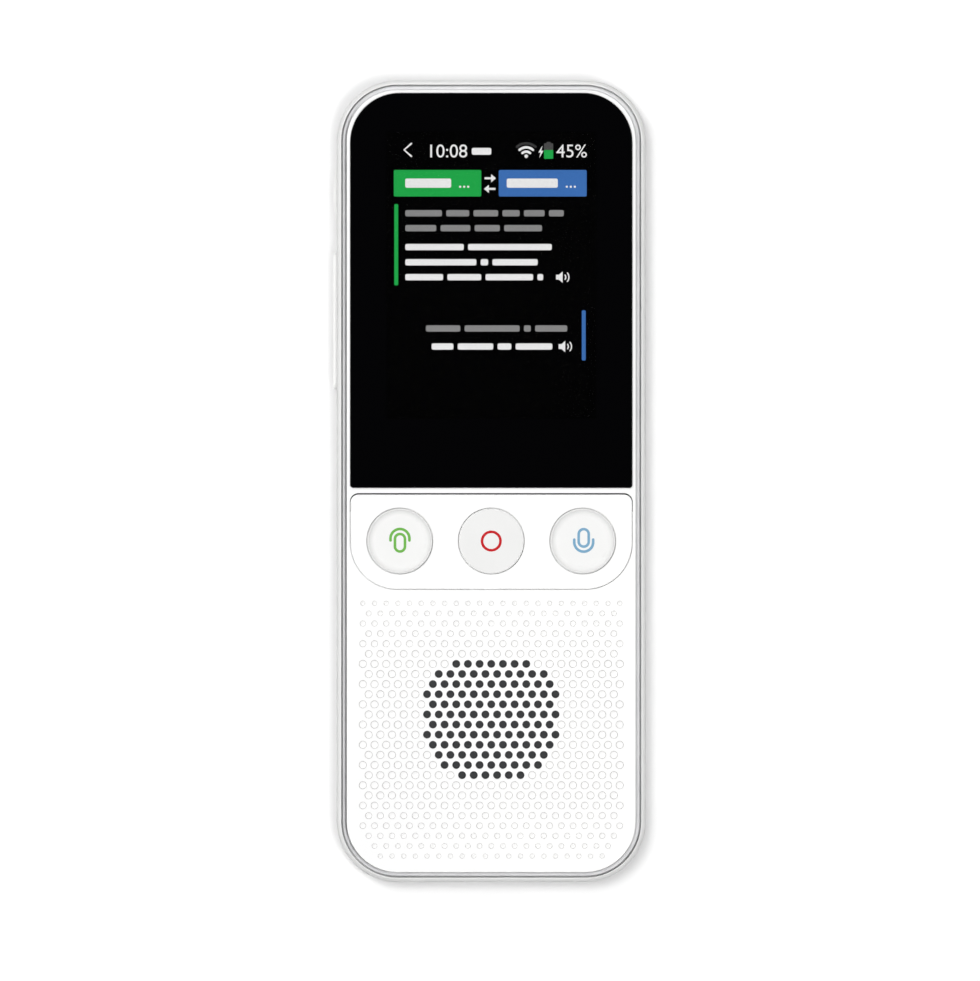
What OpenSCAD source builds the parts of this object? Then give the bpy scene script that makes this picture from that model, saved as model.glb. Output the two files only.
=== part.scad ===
// Pocket voice translator, lying on its back with the screen up.
// The origin is the middle of the back face. +X is the right side seen from the front,
// +Y points to the top end and +Z out of the screen. All sizes are in millimetres.

/* [Body] */
// Distance from the picture area to either side of the body
side_border = 8.75; // [8.4:0.05:10]
// Length of the dotted face, from the key panel to the bottom end
face_l = 51.16; // [48:0.01:60]
// Thickness from the back face to the top of the cover glass
body_t = 12.5; // [12.4:0.1:14]
// Corner radius seen from the front
corner_r = 10.6; // [10:0.1:11.4]
// Radius of the rounded back edge
back_edge_r = 3; // [2:0.1:3.2]
// Side wall of the rear housing
side_wall = 1.6; // [1.5:0.05:1.8]
// Back wall of the rear housing
back_wall = 1.4; // [1.2:0.05:1.6]

/* [Rim and trim frame] */
// Width of the rear housing's rim seen from the front
rim_w = 0.8; // [0.75:0.05:0.95]
// Radius of the slope that falls from the rim to the side wall
rim_r = 2; // [1:0.1:3]
// Flat lip along the top of that slope
rim_lip = 0.1; // [0.05:0.05:0.2]
// Open seam between the rim and the trim frame
seam_w = 0.25; // [0.1:0.05:0.3]
// Width of the trim frame's sloped face
trim_w = 0.7; // [0.5:0.05:0.8]
// Rise of the trim frame's slope, from the rim up to the face
trim_rise = 0.95; // [0.6:0.05:1.1]
// Step from the rim down to the seat that the trim frame stands on
trim_seat_drop = 1.3; // [1.2:0.05:1.4]
// Width of the tongue that the front housing traps
tongue_w = 0.35; // [0.25:0.05:0.45]
// Thickness of that tongue
tongue_t = 0.55; // [0.4:0.05:0.65]
// Crown of the trim frame's slope
trim_crown = 0.12; // [0.05:0.01:0.16]
// Open seam between the trim frame and the face
face_seam_w = 0.04; // [0.03:0.01:0.15]

/* [Front housing] */
// Thickness of the face plate
face_plate_t = 1.5; // [1.4:0.05:1.6]
// Rounding of the face plate's outer edge
face_edge_r = 0.1; // [0.05:0.05:0.3]
// Thickness of the skirt that goes down inside the rear housing
skirt_t = 1; // [0.8:0.05:1.1]
// Gap between the skirt's lower edge and the main board
skirt_lift = 0.1; // [0.05:0.05:0.15]
// Length of each snap hook along the skirt
hook_len = 7; // [4:0.5:9]
// Height of each snap hook
hook_h = 0.7; // [0.5:0.05:0.8]
// Reach of each snap hook into its pocket in the rear wall
hook_bite = 0.5; // [0.3:0.05:0.55]
// Diameter of the screw bosses
boss_d = 3; // [2.6:0.1:3]
// Diameter of the pilot hole in each boss
pilot_d = 1.5; // [1.3:0.1:1.6]

/* [Display] */
// White border of the face beside the cover glass
bezel_w = 0.68; // [0.5:0.01:1]
// White border of the face above the cover glass
bezel_top_w = 0.6; // [0.35:0.01:1]
// Thickness of the cover glass
glass_t = 1.1; // [0.8:0.05:1.2]
// Height of the cover glass above the face
glass_proud = 0.35; // [0.2:0.05:0.4]
// Radius of the cover glass's top corners
glass_top_r = 8.6; // [7:0.1:9]
// Radius of the cover glass's bottom corners
glass_bottom_r = 0.5; // [0.4:0.05:1]
// Rounding of the cover glass's front edge
glass_edge_r = 0.1; // [0.05:0.05:0.3]
// Gap round the cover glass
glass_gap = 0.08; // [0.05:0.01:0.12]
// Thickness of the adhesive under the cover glass
adhesive_t = 0.15; // [0.1:0.05:0.2]
// Width of the adhesive frame
adhesive_w = 2.2; // [1.5:0.1:2.3]
// Thickness of the touch sensor film
touch_t = 0.1; // [0.05:0.05:0.15]
// Width of the picture area
active_w = 36.5; // [34:0.1:37]
// Length of the picture area
active_l = 50; // [48:0.1:51]
// Distance from the cover glass's top edge to the picture area
active_drop = 6.77; // [6:0.01:7.5]
// Distance from the picture area to the cover glass's bottom edge
glass_chin = 12.04; // [11:0.01:14]
// Border of the display cell beside and above the picture area
cell_border = 1.95; // [1.5:0.05:2]
// Lower ledge of the display cell, which carries the driver chip
cell_ledge = 5.7; // [5:0.1:6]
// Thickness of the display cell
cell_t = 1.2; // [1:0.05:1.3]
// Wall of the backlight tray round the cell
tray_wall = 0.5; // [0.3:0.05:0.6]
// Thickness of the backlight tray under the cell
tray_t = 1.6; // [1.2:0.05:1.65]
// Gap between the backlight tray and the window in the face plate
window_gap = 0.3; // [0.2:0.05:0.4]

/* [Key panel] */
// White border of the face beside the key panel
panel_side_w = 0.7; // [0.5:0.05:1]
// Length of the key panel
panel_l = 16.5; // [16.2:0.1:17]
// Thickness of the key panel
panel_t = 0.8; // [0.7:0.05:0.9]
// Height of the key panel above the face
panel_proud = 0.1; // [0.05:0.05:0.15]
// Radius of the key panel's top corners
panel_top_r = 1.4; // [1:0.1:3]
// Radius of the key panel's bottom corners
panel_bottom_r = 8.1; // [6:0.1:8.2]
// Rounding of the key panel's front edge
panel_edge_r = 0.12; // [0.05:0.01:0.2]
// Gap round the sides and bottom of the key panel
panel_gap = 0.12; // [0.08:0.01:0.15]
// Wider gap along the key panel's top edge
panel_top_gap = 0.25; // [0.15:0.01:0.3]
// Thickness of the black tape under the key panel
panel_tape_t = 0.1; // [0.05:0.01:0.15]
// Distance from the key panel's edge in to the tape, round its lower part
panel_tape_inset = 0.5; // [0.3:0.1:0.8]
// Length of the tape's head, which reaches the recess's sides
panel_tape_head = 3; // [2:0.5:5]
// White bar of the face between the cover glass and the key panel's gap
bar_w = 0.85; // [0.7:0.05:1.2]

/* [Face keys] */
// Diameter of each face key
key_d = 11.4; // [10:0.1:11.6]
// Distance from an outer key to the side of the key panel
key_side_w = 2.9; // [2.6:0.05:3.4]
// Distance from the key panel's top edge to the key centres
key_drop = 8.11; // [8:0.01:8.4]
// Gap between a key and its hole in the key panel
key_gap = 0.13; // [0.1:0.01:0.25]
// Height of each key above the key panel
key_proud = 0.25; // [0.15:0.05:0.3]
// Rounding of each key's top edge
key_edge_r = 0.2; // [0.1:0.05:0.3]
// Depth of the dish in the outer two keys
key_dish = 0.4; // [0.2:0.05:0.5]
// Flat border round the dish
key_dish_border = 0.25; // [0.2:0.05:0.5]
// Radius of the curve from the dish's floor up to its border
key_dish_r = 1.4; // [1:0.1:3]
// Travel of each face key
key_travel = 0.3; // [0.2:0.05:0.35]
// Width of the flange that keeps a key under the panel
key_flange_w = 0.85; // [0.6:0.05:0.9]
// Thickness of that flange
key_flange_t = 0.6; // [0.4:0.05:0.6]
// Diameter of the stem under each key
key_stem_d = 7; // [5:0.5:8]
// Width of the tab that stops a key from turning
key_tab_w = 1.6; // [1:0.1:2]
// Reach of that tab past the flange
key_tab_reach = 0.7; // [0.4:0.05:0.9]

/* [Dotted face and loudspeaker] */
// Distance between neighbouring dots
dot_pitch = 2.036; // [1.9:0.01:2.3]
// Diameter of the dots in the middle rows
dot_d = 1.38; // [1:0.01:1.45]
// Diameter of the dots in the first and last rows
end_dot_d = 0.86; // [0.6:0.01:1]
// Rows over which the dots grow from the end size to the full size
taper_rows = 6; // [2:1:8]
// Distance from the key panel to the first row of dots
dots_drop = 2.46; // [2.2:0.01:4]
// Least distance from a dot's centre to the side of the body
dots_side_margin = 4.5; // [4:0.1:6]
// Least distance from a dot's centre to the rounded outline
dots_margin = 3.55; // [3.3:0.05:4.2]
// Least distance from the last row of dots to the bottom end
dots_end_margin = 4.5; // [4:0.1:6]
// Depth of a blind dot
dot_depth = 0.3; // [0.15:0.05:0.7]
// Width of a blind dot's floor as a share of its mouth
dot_floor_share = 0.86; // [0.7:0.01:0.95]
// Gap between the loudspeaker's ring and the charging port's board
speaker_gap = 2.25; // [1.5:0.05:3]
// Radius of the group of dots that are drilled through
drilled_r = 12; // [8:0.1:12.4]
// Rows of dots that the drilled group spans
drilled_rows = 12; // [8:1:12]
// Diameter of the loudspeaker
speaker_d = 27.2; // [27:0.1:28]
// Height of the loudspeaker's frame
speaker_h = 2.2; // [2:0.1:2.4]
// Diameter of the loudspeaker's magnet
magnet_d = 16; // [12:0.5:18]
// Height of the loudspeaker's magnet
magnet_h = 3; // [2:0.1:3.5]
// Thickness of the acoustic mesh
mesh_t = 0.2; // [0.15:0.05:0.25]
// Thickness of the foam gasket behind the mesh
gasket_t = 0.4; // [0.3:0.05:0.5]
// Width of the foam gasket
gasket_w = 0.9; // [0.6:0.05:0.95]
// Wall of the ring that holds the loudspeaker
speaker_ring_wall = 1; // [0.8:0.05:1.2]

/* [Side keys] */
// Height of the side keys' centre line above the back face
side_key_z = 6.4; // [6:0.05:6.5]
// Width of the side keys across the body's thickness
side_key_w = 2.4; // [2:0.1:2.6]
// Gap between a side key and its slot
side_key_gap = 0.15; // [0.12:0.01:0.2]
// Length of the power key
power_len = 10.8; // [8:0.1:11]
// Distance from the top end to the middle of the power key
power_drop = 20; // [20:0.5:21]
// Height of the power key above the side
power_proud = 0.55; // [0.4:0.05:0.7]
// Travel of the power key
power_travel = 0.25; // [0.15:0.05:0.25]
// Length of the volume rocker
rocker_len = 24; // [20:0.5:24]
// Distance from the top end to the middle of the volume rocker
rocker_drop = 42; // [41.5:0.5:43]
// Height of the volume rocker above the side
rocker_proud = 0.6; // [0.4:0.05:0.7]
// Rounding of the volume rocker's ends
rocker_end_r = 0.55; // [0.3:0.05:0.6]
// Tilt of the volume rocker to each side, in degrees
rocker_tilt = 1.3; // [0.8:0.1:1.4]
// Distance from the rocker's middle to each of its two switches
rocker_switch_x = 8; // [6:0.5:9]
// Border of the flange that keeps a side key inside
side_flange_w = 0.5; // [0.4:0.05:0.6]
// Thickness of that flange
side_flange_t = 0.6; // [0.5:0.05:0.6]
// Thickness of the side key flex
flex_t = 0.2; // [0.15:0.05:0.25]
// Thickness of the side key bracket
bracket_t = 0.5; // [0.4:0.05:0.6]

/* [Snap domes and key mat] */
// Diameter of the domes under the face keys
dome_d = 5; // [4:0.1:6]
// Height of every snap dome
dome_h = 0.35; // [0.3:0.01:0.35]
// Diameter of the domes on the side flex
side_dome_d = 2.2; // [1.8:0.1:2.3]
// Thickness of the key mat's web
mat_t = 0.5; // [0.4:0.05:0.6]
// Height of the key mat's pads above its web
mat_pad_h = 0.35; // [0.2:0.05:0.4]
// Width of the key mat's rim
mat_rim_w = 1; // [0.8:0.1:1.4]

/* [Boards and battery] */
// Thickness of both circuit boards
board_t = 0.8; // [0.6:0.05:0.9]
// Distance from the underside of the face plate to the main board
board_drop = 2.45; // [2.45:0.05:2.6]
// Gap between the main board and the side wall
board_gap = 0.6; // [0.4:0.05:0.8]
// Gap between the main board's lower edge and the loudspeaker's ring
board_ring_gap = 2.35; // [1.5:0.05:3]
// Height of the shield cans
shield_h = 1.4; // [1.2:0.05:1.45]
// Sheet thickness of the shield cans
shield_wall = 0.2; // [0.15:0.05:0.3]
// Gap between the battery and what stands on either side of it
battery_gap = 3.8; // [2.5:0.1:5]
// Distance from the top end of the body to the battery
battery_drop = 15.5; // [14:0.5:20]
// Length of the battery
battery_l = 62; // [50:0.5:64]
// Thickness of the battery
battery_t = 4; // [3:0.1:4.1]
// Thickness of the battery tape
tape_t = 0.2; // [0.1:0.05:0.25]
// Diameter of the screw heads
screw_head_d = 2.8; // [2.4:0.1:2.8]
// Height of the screw heads
screw_head_h = 0.8; // [0.6:0.1:1]
// Length of the screws under the head
screw_len = 2.9; // [2.5:0.1:3]

/* [Charging port and microphones] */
// Width of the port's metal shell
port_w = 8.94; // [8.9:0.01:9]
// Height of the port's metal shell
port_h = 3.26; // [3.2:0.01:3.3]
// Length of the port's metal shell
port_l = 7.3; // [6.5:0.1:8]
// Length of the board that carries the port
port_board_l = 9.6; // [9:0.1:10.5]
// Sheet thickness of the port's shell
port_wall = 0.3; // [0.2:0.01:0.32]
// Gap between the shell and the opening in the housing
port_gap = 0.18; // [0.1:0.01:0.25]
// Distance from the port's shell to the bottom end of the body
port_recess = 0.4; // [0.2:0.1:1]
// Diameter of the microphone holes
mic_hole_d = 1; // [0.6:0.1:1.4]
// Distance of each microphone from the middle of its end
mic_x = 13; // [11.5:0.5:13.5]

/* [Hidden] */
$fn = 64;

// Colours of the finishes
white_abs = "#f4f4f3";
silver_plate = "#c9cacc";
black_glass = "#0a0b0c";
key_white = "#ececec";
film_grey = "#55585c";
steel = "#a9acb0";
board_green = "#1d5a3c";
chip_black = "#1b1c1e";
battery_blue = "#4d5f73";
polyimide = "#a8682a";
silicone_grey = "#8d9194";
brass_gold = "#c8a14b";

// Small clearances shared by many pieces
fit_gap = 0.05;     // between pieces that are assembled once and stay put
contact_gap = 0.05; // between an actuator and the dome that it presses
eps = 0.01;         // how far a cutting tool passes the face that it cuts
lap = 0.05;         // how far a swept edge runs into the plate that it borders
pilot_spare = 0.3;  // depth of a pilot hole past the tip of its screw

// Heights of the seams and seats, from the face downwards
face_z = body_t - glass_proud;
rim_z = face_z - trim_rise;
trim_seat_z = rim_z - trim_seat_drop;
plate_z = face_z - face_plate_t;
glass_z = body_t - glass_t;
glass_seat_z = glass_z - adhesive_t;
panel_top_z = face_z + panel_proud;
panel_z = panel_top_z - panel_t;
panel_seat_z = panel_z - panel_tape_t;
board_top_z = plate_z - board_drop;
board_z = board_top_z - board_t;
skirt_z = board_top_z + skirt_lift;
step_z = trim_seat_z + tongue_t + fit_gap;

// The picture area and its borders give the body its width
body_w = active_w + 2 * side_border;

// Insets from the outer outline, from outside in
trim_out = rim_w + seam_w;
trim_in = trim_out + trim_w;
face_inset = trim_in + face_seam_w;
skirt_inset = trim_in + tongue_w + fit_gap;
inner_x = body_w / 2 - side_wall;

// The pieces along the face give the body its length
glass_margin = trim_in + bezel_top_w;
glass_l = active_drop + active_l + glass_chin;
panel_drop = glass_margin + glass_l + glass_gap + bar_w + panel_top_gap;
body_l = panel_drop + panel_l + face_l;

// Places along the body, from the top end down
top_y = body_l / 2;
bottom_y = -body_l / 2;
glass_w = body_w - 2 * (trim_in + bezel_w);
glass_y1 = top_y - glass_margin;
glass_y0 = glass_y1 - glass_l;
active_y1 = glass_y1 - active_drop;
active_y0 = active_y1 - active_l;
cell_y1 = active_y1 + cell_border;
cell_y0 = active_y0 - cell_ledge;
cell_w = active_w + 2 * cell_border;
tray_w = cell_w + 2 * tray_wall + 2 * fit_gap;
tray_y1 = cell_y1 + tray_wall + fit_gap;
tray_y0 = cell_y0 - tray_wall - fit_gap;
cell_z = glass_z - touch_t - fit_gap - cell_t;
window_w = tray_w + 2 * window_gap;
window_y1 = tray_y1 + window_gap;
ribbon_room = 0.8; // the ribbons pass below the tray
window_y0 = tray_y0 - window_gap - ribbon_room;
panel_w = body_w - 2 * (trim_in + panel_side_w);
panel_y1 = top_y - panel_drop;
panel_y0 = panel_y1 - panel_l;
key_y = panel_y1 - key_drop;
key_pitch = panel_w / 2 - key_side_w - key_d / 2;
key_x = [-key_pitch, 0, key_pitch];
key_flange_z = panel_z - fit_gap - key_flange_t;
key_top_z = panel_top_z + key_proud;

// Hexagonal field of dots
row_pitch = dot_pitch * sin(60);
dots_y1 = panel_y0 - dots_drop;
dot_rows = floor((dots_y1 - bottom_y - dots_end_margin) / row_pitch) + 1;
half_cols = floor((body_w / 2 - dots_side_margin) / dot_pitch);

// Loudspeaker stack, from the face plate downwards
mesh_z = plate_z - mesh_t;
gasket_z = mesh_z - gasket_t;
speaker_z = gasket_z - speaker_h;
magnet_z = speaker_z - magnet_h;
mesh_r = speaker_d / 2;
ring_in_r = speaker_d / 2 + 2 * fit_gap;
ring_out_r = ring_in_r + speaker_ring_wall;
port_board_y0 = bottom_y + side_wall + board_gap + 4 * fit_gap;
port_board_y1 = port_board_y0 + port_board_l;
speaker_y = port_board_y1 + speaker_gap + ring_out_r;
first_drilled_row = round((dots_y1 - speaker_y) / row_pitch) - floor((drilled_rows - 1) / 2);

// Side key stack, from the wall inwards
power_y = top_y - power_drop;
rocker_y = top_y - rocker_drop;
tilt_gap = (rocker_len / 2 + side_flange_w) * sin(rocker_tilt) + fit_gap;
rocker_flange_x = -inner_x + tilt_gap;
power_flange_x = -inner_x + 2 * fit_gap;
flex_x = rocker_flange_x + side_flange_t + 0.1 + contact_gap + dome_h;
bracket_x = flex_x + flex_t;
rocker_pivot_r = 0.4;
rocker_pivot_x = flex_x - contact_gap - rocker_pivot_r;

// Boards
board_w = body_w - 2 * (side_wall + board_gap);
board_y1 = top_y - side_wall - board_gap;
board_y0 = speaker_y + ring_out_r + board_ring_gap;
board_corner_r = corner_r - side_wall - board_gap;
boss_x = (window_w + boss_d) / 2 + fit_gap;
boss_rows_y = [top_y - 9.5, tray_y0 + 4.7, board_y0 + 3];
boss_spots = [for (y = boss_rows_y, s = [-1, 1]) [s * boss_x, y]];
port_z = board_z - port_h / 2;
port_y0 = bottom_y + port_recess;
port_board_side = 3.8;
port_board_w = board_w - 2 * port_board_side;
port_boss_x = (port_board_w - boss_d) / 2 - 2 * fit_gap;
port_boss_spots = [for (s = [-1, 1]) [s * port_boss_x, port_board_y0 + 4]];
all_boss_spots = concat(boss_spots, port_boss_spots);
battery_z = back_wall + tape_t;
battery_x1 = inner_x - battery_gap;
battery_x0 = bracket_x + bracket_t + battery_gap;
battery_x = (battery_x0 + battery_x1) / 2;
battery_w = battery_x1 - battery_x0;
battery_y1 = top_y - battery_drop;
battery_y0 = battery_y1 - battery_l;
link_w = 5;
link_x = 13;

// ---------- shared outlines ----------

// Rectangle with four equal rounded corners, centred on the origin
module round_rect(w, l, r) {
    square([w - 2 * r, l], center = true);
    square([w, l - 2 * r], center = true);
    for (x = [-1, 1], y = [-1, 1])
        translate([x * (w / 2 - r), y * (l / 2 - r)]) circle(r);
}

// Bar with two half-round ends, along the longer of its two sizes
module slot_outline(w, l) {
    if (w < l) {
        square([w, l - w], center = true);
        for (s = [-1, 1]) translate([0, s * (l - w) / 2]) circle(w / 2);
    } else
        rotate(90) slot_outline(l, w);
}

// The body's front outline, moved in by an inset
module body_outline(inset) {
    round_rect(body_w - 2 * inset, body_l - 2 * inset, corner_r - inset);
}

// Plate outline with one radius for its two top corners and another for the bottom ones
module plate_outline(w, y0, y1, r_top, r_bottom) {
    translate([-w / 2, y0 + r_bottom]) square([w, y1 - y0 - r_top - r_bottom]);
    translate([-w / 2 + r_top, y1 - r_top]) square([w - 2 * r_top, r_top]);
    translate([-w / 2 + r_bottom, y0]) square([w - 2 * r_bottom, r_bottom]);
    for (s = [-1, 1]) {
        translate([s * (w / 2 - r_top), y1 - r_top]) circle(r_top);
        translate([s * (w / 2 - r_bottom), y0 + r_bottom]) circle(r_bottom);
    }
}

// Sweeps a profile round such an outline. The profile's x = 0 lies on the outline, with
// +x outwards, and its y is the height.
module round_edge(w, y0, y1, r_top, r_bottom) {
    for (s = [0, 1]) mirror([s, 0, 0]) {
        translate([w / 2 - r_top, y1 - r_top, 0])
            rotate_extrude(angle = 90) translate([r_top, 0]) children();
        translate([w / 2 - r_bottom, y0 + r_bottom, 0])
            rotate([0, 0, -90]) rotate_extrude(angle = 90) translate([r_bottom, 0]) children();
        translate([w / 2, y1 - r_top, 0])
            rotate([90, 0, 0]) linear_extrude(y1 - y0 - r_top - r_bottom) children();
    }
    translate([-w / 2 + r_top, y1, 0])
        rotate([90, 0, 90]) linear_extrude(w - 2 * r_top) children();
    mirror([0, 1, 0]) translate([-w / 2 + r_bottom, -y0, 0])
        rotate([90, 0, 90]) linear_extrude(w - 2 * r_bottom) children();
}

// The same sweep round the body's outline at an inset
module round_body(inset) {
    round_edge(body_w - 2 * inset, bottom_y + inset, top_y - inset,
        corner_r - inset, corner_r - inset) children();
}

// Edge profile: a strip behind the outline with a rounded lower and upper outer corner. The
// upper arc leaves the side upright and meets the top where it has reached in by high_reach.
module edge_profile(depth, z0, z1, low_r, high_r, high_reach = undef) {
    reach = is_undef(high_reach) ? high_r : high_reach;
    fall = sqrt(high_r * high_r - (high_r - reach) * (high_r - reach));
    difference() {
        translate([-depth, z0]) square([depth, z1 - z0]);
        if (low_r > 0)
            difference() {
                translate([-low_r, z0 - eps]) square([low_r + eps, low_r + eps]);
                translate([-low_r, z0 + low_r]) circle(low_r);
            }
        if (high_r > 0)
            difference() {
                translate([-reach, z1 - fall]) square([reach + eps, fall + eps]);
                translate([-high_r, z1 - fall]) circle(high_r);
            }
    }
}

// Block of the body's outline at an inset, with a rounded edge round its floor and its top
module body_block(inset, z0, z1, low_r, high_r, high_reach = undef) {
    depth = max(low_r, high_r);
    translate([0, 0, z0]) linear_extrude(z1 - z0) body_outline(inset + depth);
    round_body(inset) edge_profile(depth + lap, z0, z1, low_r, high_r, high_reach);
}

// Plate with a rounded front edge
module edged_plate(w, y0, y1, r_top, r_bottom, z0, z1, edge_r) {
    translate([0, 0, z0]) linear_extrude(z1 - z0)
        plate_outline(w - 2 * edge_r, y0 + edge_r, y1 - edge_r, r_top - edge_r, r_bottom - edge_r);
    round_edge(w, y0, y1, r_top, r_bottom) edge_profile(edge_r + lap, z0, z1, 0, edge_r);
}

// Box given by its two corners
module span(a, b) {
    translate(a) cube(b - a);
}

// ---------- rear housing ----------

hook_spots_y = [bottom_y + 22, bottom_y + 60, top_y - 33];
hook_z = skirt_z + 0.05;
pocket_play = 0.1;

// Places every snap hook: the children lie on the right side, at y = 0, with x = 0 on the
// body's outline
module at_hooks() {
    for (y = hook_spots_y, s = [0, 1])
        mirror([s, 0, 0]) translate([body_w / 2, y, 0]) children();
    for (s = [0, 1]) mirror([0, s, 0])
        translate([0, top_y, 0]) rotate([0, 0, 90]) children();
}

// Slot for a side key, cut from inside the body outwards
module side_slot(y, len, gap) {
    translate([-body_w / 2 - 1, y, side_key_z]) rotate([0, 90, 0])
        linear_extrude(side_wall + 1 + eps)
            slot_outline(side_key_w + 2 * gap, len + 2 * gap);
}

// Two ribs that hold one end of the side key bracket between them
rib_len = 2;
rib_h = 2.6;
module bracket_ribs(y) {
    span([-inner_x - eps, y, back_wall - eps], [bracket_x - fit_gap, y + rib_len, back_wall + rib_h]);
    span([bracket_x + bracket_t + fit_gap, y, back_wall - eps],
        [bracket_x + bracket_t + fit_gap + 0.8, y + rib_len, back_wall + rib_h]);
}
bracket_y0 = rocker_y - rocker_len / 2 - 2.5;
bracket_y1 = power_y + power_len / 2 + 2.5;

// Low ribs that keep the battery in its place
crib_h = 2;
crib_t = 0.8;
crib_gap = 0.3;
module battery_crib() {
    for (s = [-1, 1], x = [-0.3, 0.3])
        translate([battery_x + x * battery_w, (battery_y0 + battery_y1) / 2
            + s * (battery_l / 2 + crib_gap + crib_t / 2), back_wall - eps])
            linear_extrude(crib_h) square([8, crib_t], center = true);
    for (y = [-0.3, 0.3])
        translate([battery_x + battery_w / 2 + crib_gap + crib_t / 2,
            (battery_y0 + battery_y1) / 2 + y * battery_l, back_wall - eps])
            linear_extrude(crib_h) square([crib_t, 8], center = true);
}

module rear_housing() color(white_abs) difference() {
    union() {
        difference() {
            body_block(0, 0, rim_z, back_edge_r, rim_r, rim_w - rim_lip);
            body_block(side_wall, back_wall, rim_z + 1, back_edge_r - side_wall, 0);
            translate([0, 0, trim_seat_z]) linear_extrude(rim_z) body_outline(rim_w);
        }
        bracket_ribs(bracket_y0);
        bracket_ribs(bracket_y1 - rib_len);
        battery_crib();
    }
    side_slot(power_y, power_len, side_key_gap);
    side_slot(rocker_y, rocker_len, side_key_gap);
    // Snap pockets in the side walls
    at_hooks()
        span([-side_wall - eps, -hook_len / 2 - pocket_play, hook_z - pocket_play],
            [-side_wall + hook_bite + pocket_play, hook_len / 2 + pocket_play,
                hook_z + hook_h + pocket_play]);
    // Opening for the charging port
    translate([0, bottom_y - 1, port_z]) rotate([-90, 0, 0])
        linear_extrude(side_wall + 2)
            slot_outline(port_w + 2 * port_gap, port_h + 2 * port_gap);
    // One microphone hole through each end
    for (s = [-1, 1])
        translate([s * mic_x, s * (top_y - side_wall - 1), mic_z]) rotate([-90 * s, 0, 0])
            cylinder(d = mic_hole_d, h = side_wall + 2);
}

// ---------- trim frame ----------

// The slope's lower and upper corner, and the arc that crowns it
head_drop = 0.03; // the slope ends just under the face
slope_foot = [-trim_out, rim_z];
slope_head = [-trim_in, face_z - head_drop];
slope_l = norm(slope_head - slope_foot);
crown_r = (slope_l * slope_l / 4 + trim_crown * trim_crown) / (2 * trim_crown);
slope_dir = (slope_head - slope_foot) / slope_l;
crown_middle = (slope_foot + slope_head) / 2
    - (crown_r - trim_crown) * [slope_dir[1], -slope_dir[0]];

module trim_profile() {
    polygon([
        [-trim_out, trim_seat_z],
        slope_foot,
        slope_head,
        [-trim_in, trim_seat_z + tongue_t],
        [-trim_in - tongue_w, trim_seat_z + tongue_t],
        [-trim_in - tongue_w, trim_seat_z]
    ]);
    intersection() {
        translate(crown_middle) circle(crown_r);
        translate([-trim_in, rim_z - tongue_t]) square([trim_w, face_z - rim_z + tongue_t]);
    }
}

module trim_frame() color(silver_plate) round_body(0) trim_profile();

// ---------- front housing ----------

// Distance from a point to the body's rounded outline, measured inwards
function edge_distance(x, y) =
    let (cx = abs(x) - (body_w / 2 - corner_r), cy = abs(y) - (body_l / 2 - corner_r))
        corner_r - (cx > 0 && cy > 0 ? norm([cx, cy]) : max(cx, cy));

// Diameter of the dots in a row: smaller towards the first and the last row
function row_dot_d(row) =
    let (steps = min(row, dot_rows - 1 - row, taper_rows))
        end_dot_d + (dot_d - end_dot_d) * steps / taper_rows;

// All dots, as [x, y, diameter, row]
dots = [
    for (row = [0 : dot_rows - 1])
        let (odd = row % 2, y = dots_y1 - row * row_pitch, n = 2 * half_cols + 1 - odd)
            for (col = [0 : n - 1])
                let (x = (col - (n - 1) / 2) * dot_pitch)
                    if (edge_distance(x, y) >= dots_margin)
                        [x, y, row_dot_d(row), row]
];

function drilled(dot) =
    dot[3] >= first_drilled_row
    && dot[3] < first_drilled_row + drilled_rows
    && norm([dot[0], dot[1] - speaker_y]) <= drilled_r;

module blind_dots() {
    for (dot = dots) if (!drilled(dot))
        translate([dot[0], dot[1], face_z - dot_depth])
            cylinder(d1 = dot[2] * dot_floor_share, d2 = dot[2], h = dot_depth + eps);
}

module drilled_dots() {
    for (dot = dots) if (drilled(dot))
        translate([dot[0], dot[1], plate_z - 1])
            cylinder(d = dot[2], h = face_plate_t + 2);
}

// Wedge-shaped snap hook on the skirt's outer face
module snap_hook() {
    rotate([90, 0, 0]) translate([0, 0, -hook_len / 2]) linear_extrude(hook_len)
        polygon([
            [-skirt_inset - skirt_t / 2, hook_z],
            [-skirt_inset, hook_z],
            [-side_wall + hook_bite, hook_z + hook_h * 0.6],
            [-side_wall + hook_bite, hook_z + hook_h],
            [-skirt_inset - skirt_t / 2, hook_z + hook_h]
        ]);
}

// Outline of the opening in the face plate for a face key's flange and its tab
module key_well(x) {
    translate([x, key_y]) {
        circle(key_d / 2 + key_flange_w + 2 * key_gap);
        translate([-key_tab_w / 2 - key_gap, 0])
            square([key_tab_w + 2 * key_gap, key_d / 2 + key_flange_w + key_tab_reach + key_gap]);
    }
}

// Outline of the key panel's recess, drawn in by a play
module panel_recess(play) {
    plate_outline(panel_w + 2 * (panel_gap - play), panel_y0 - panel_gap + play,
        panel_y1 + panel_top_gap - play, panel_top_r + panel_gap - play, panel_bottom_r + panel_gap - play);
}

// Profile of the face plate's rim and of the skirt that hangs under it
module skirt_profile() {
    translate([-face_inset, 0])
        edge_profile(skirt_inset + skirt_t - face_inset, step_z, face_z, 0, face_edge_r);
    translate([-skirt_inset - skirt_t, skirt_z]) square([skirt_t, step_z - skirt_z]);
}

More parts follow.
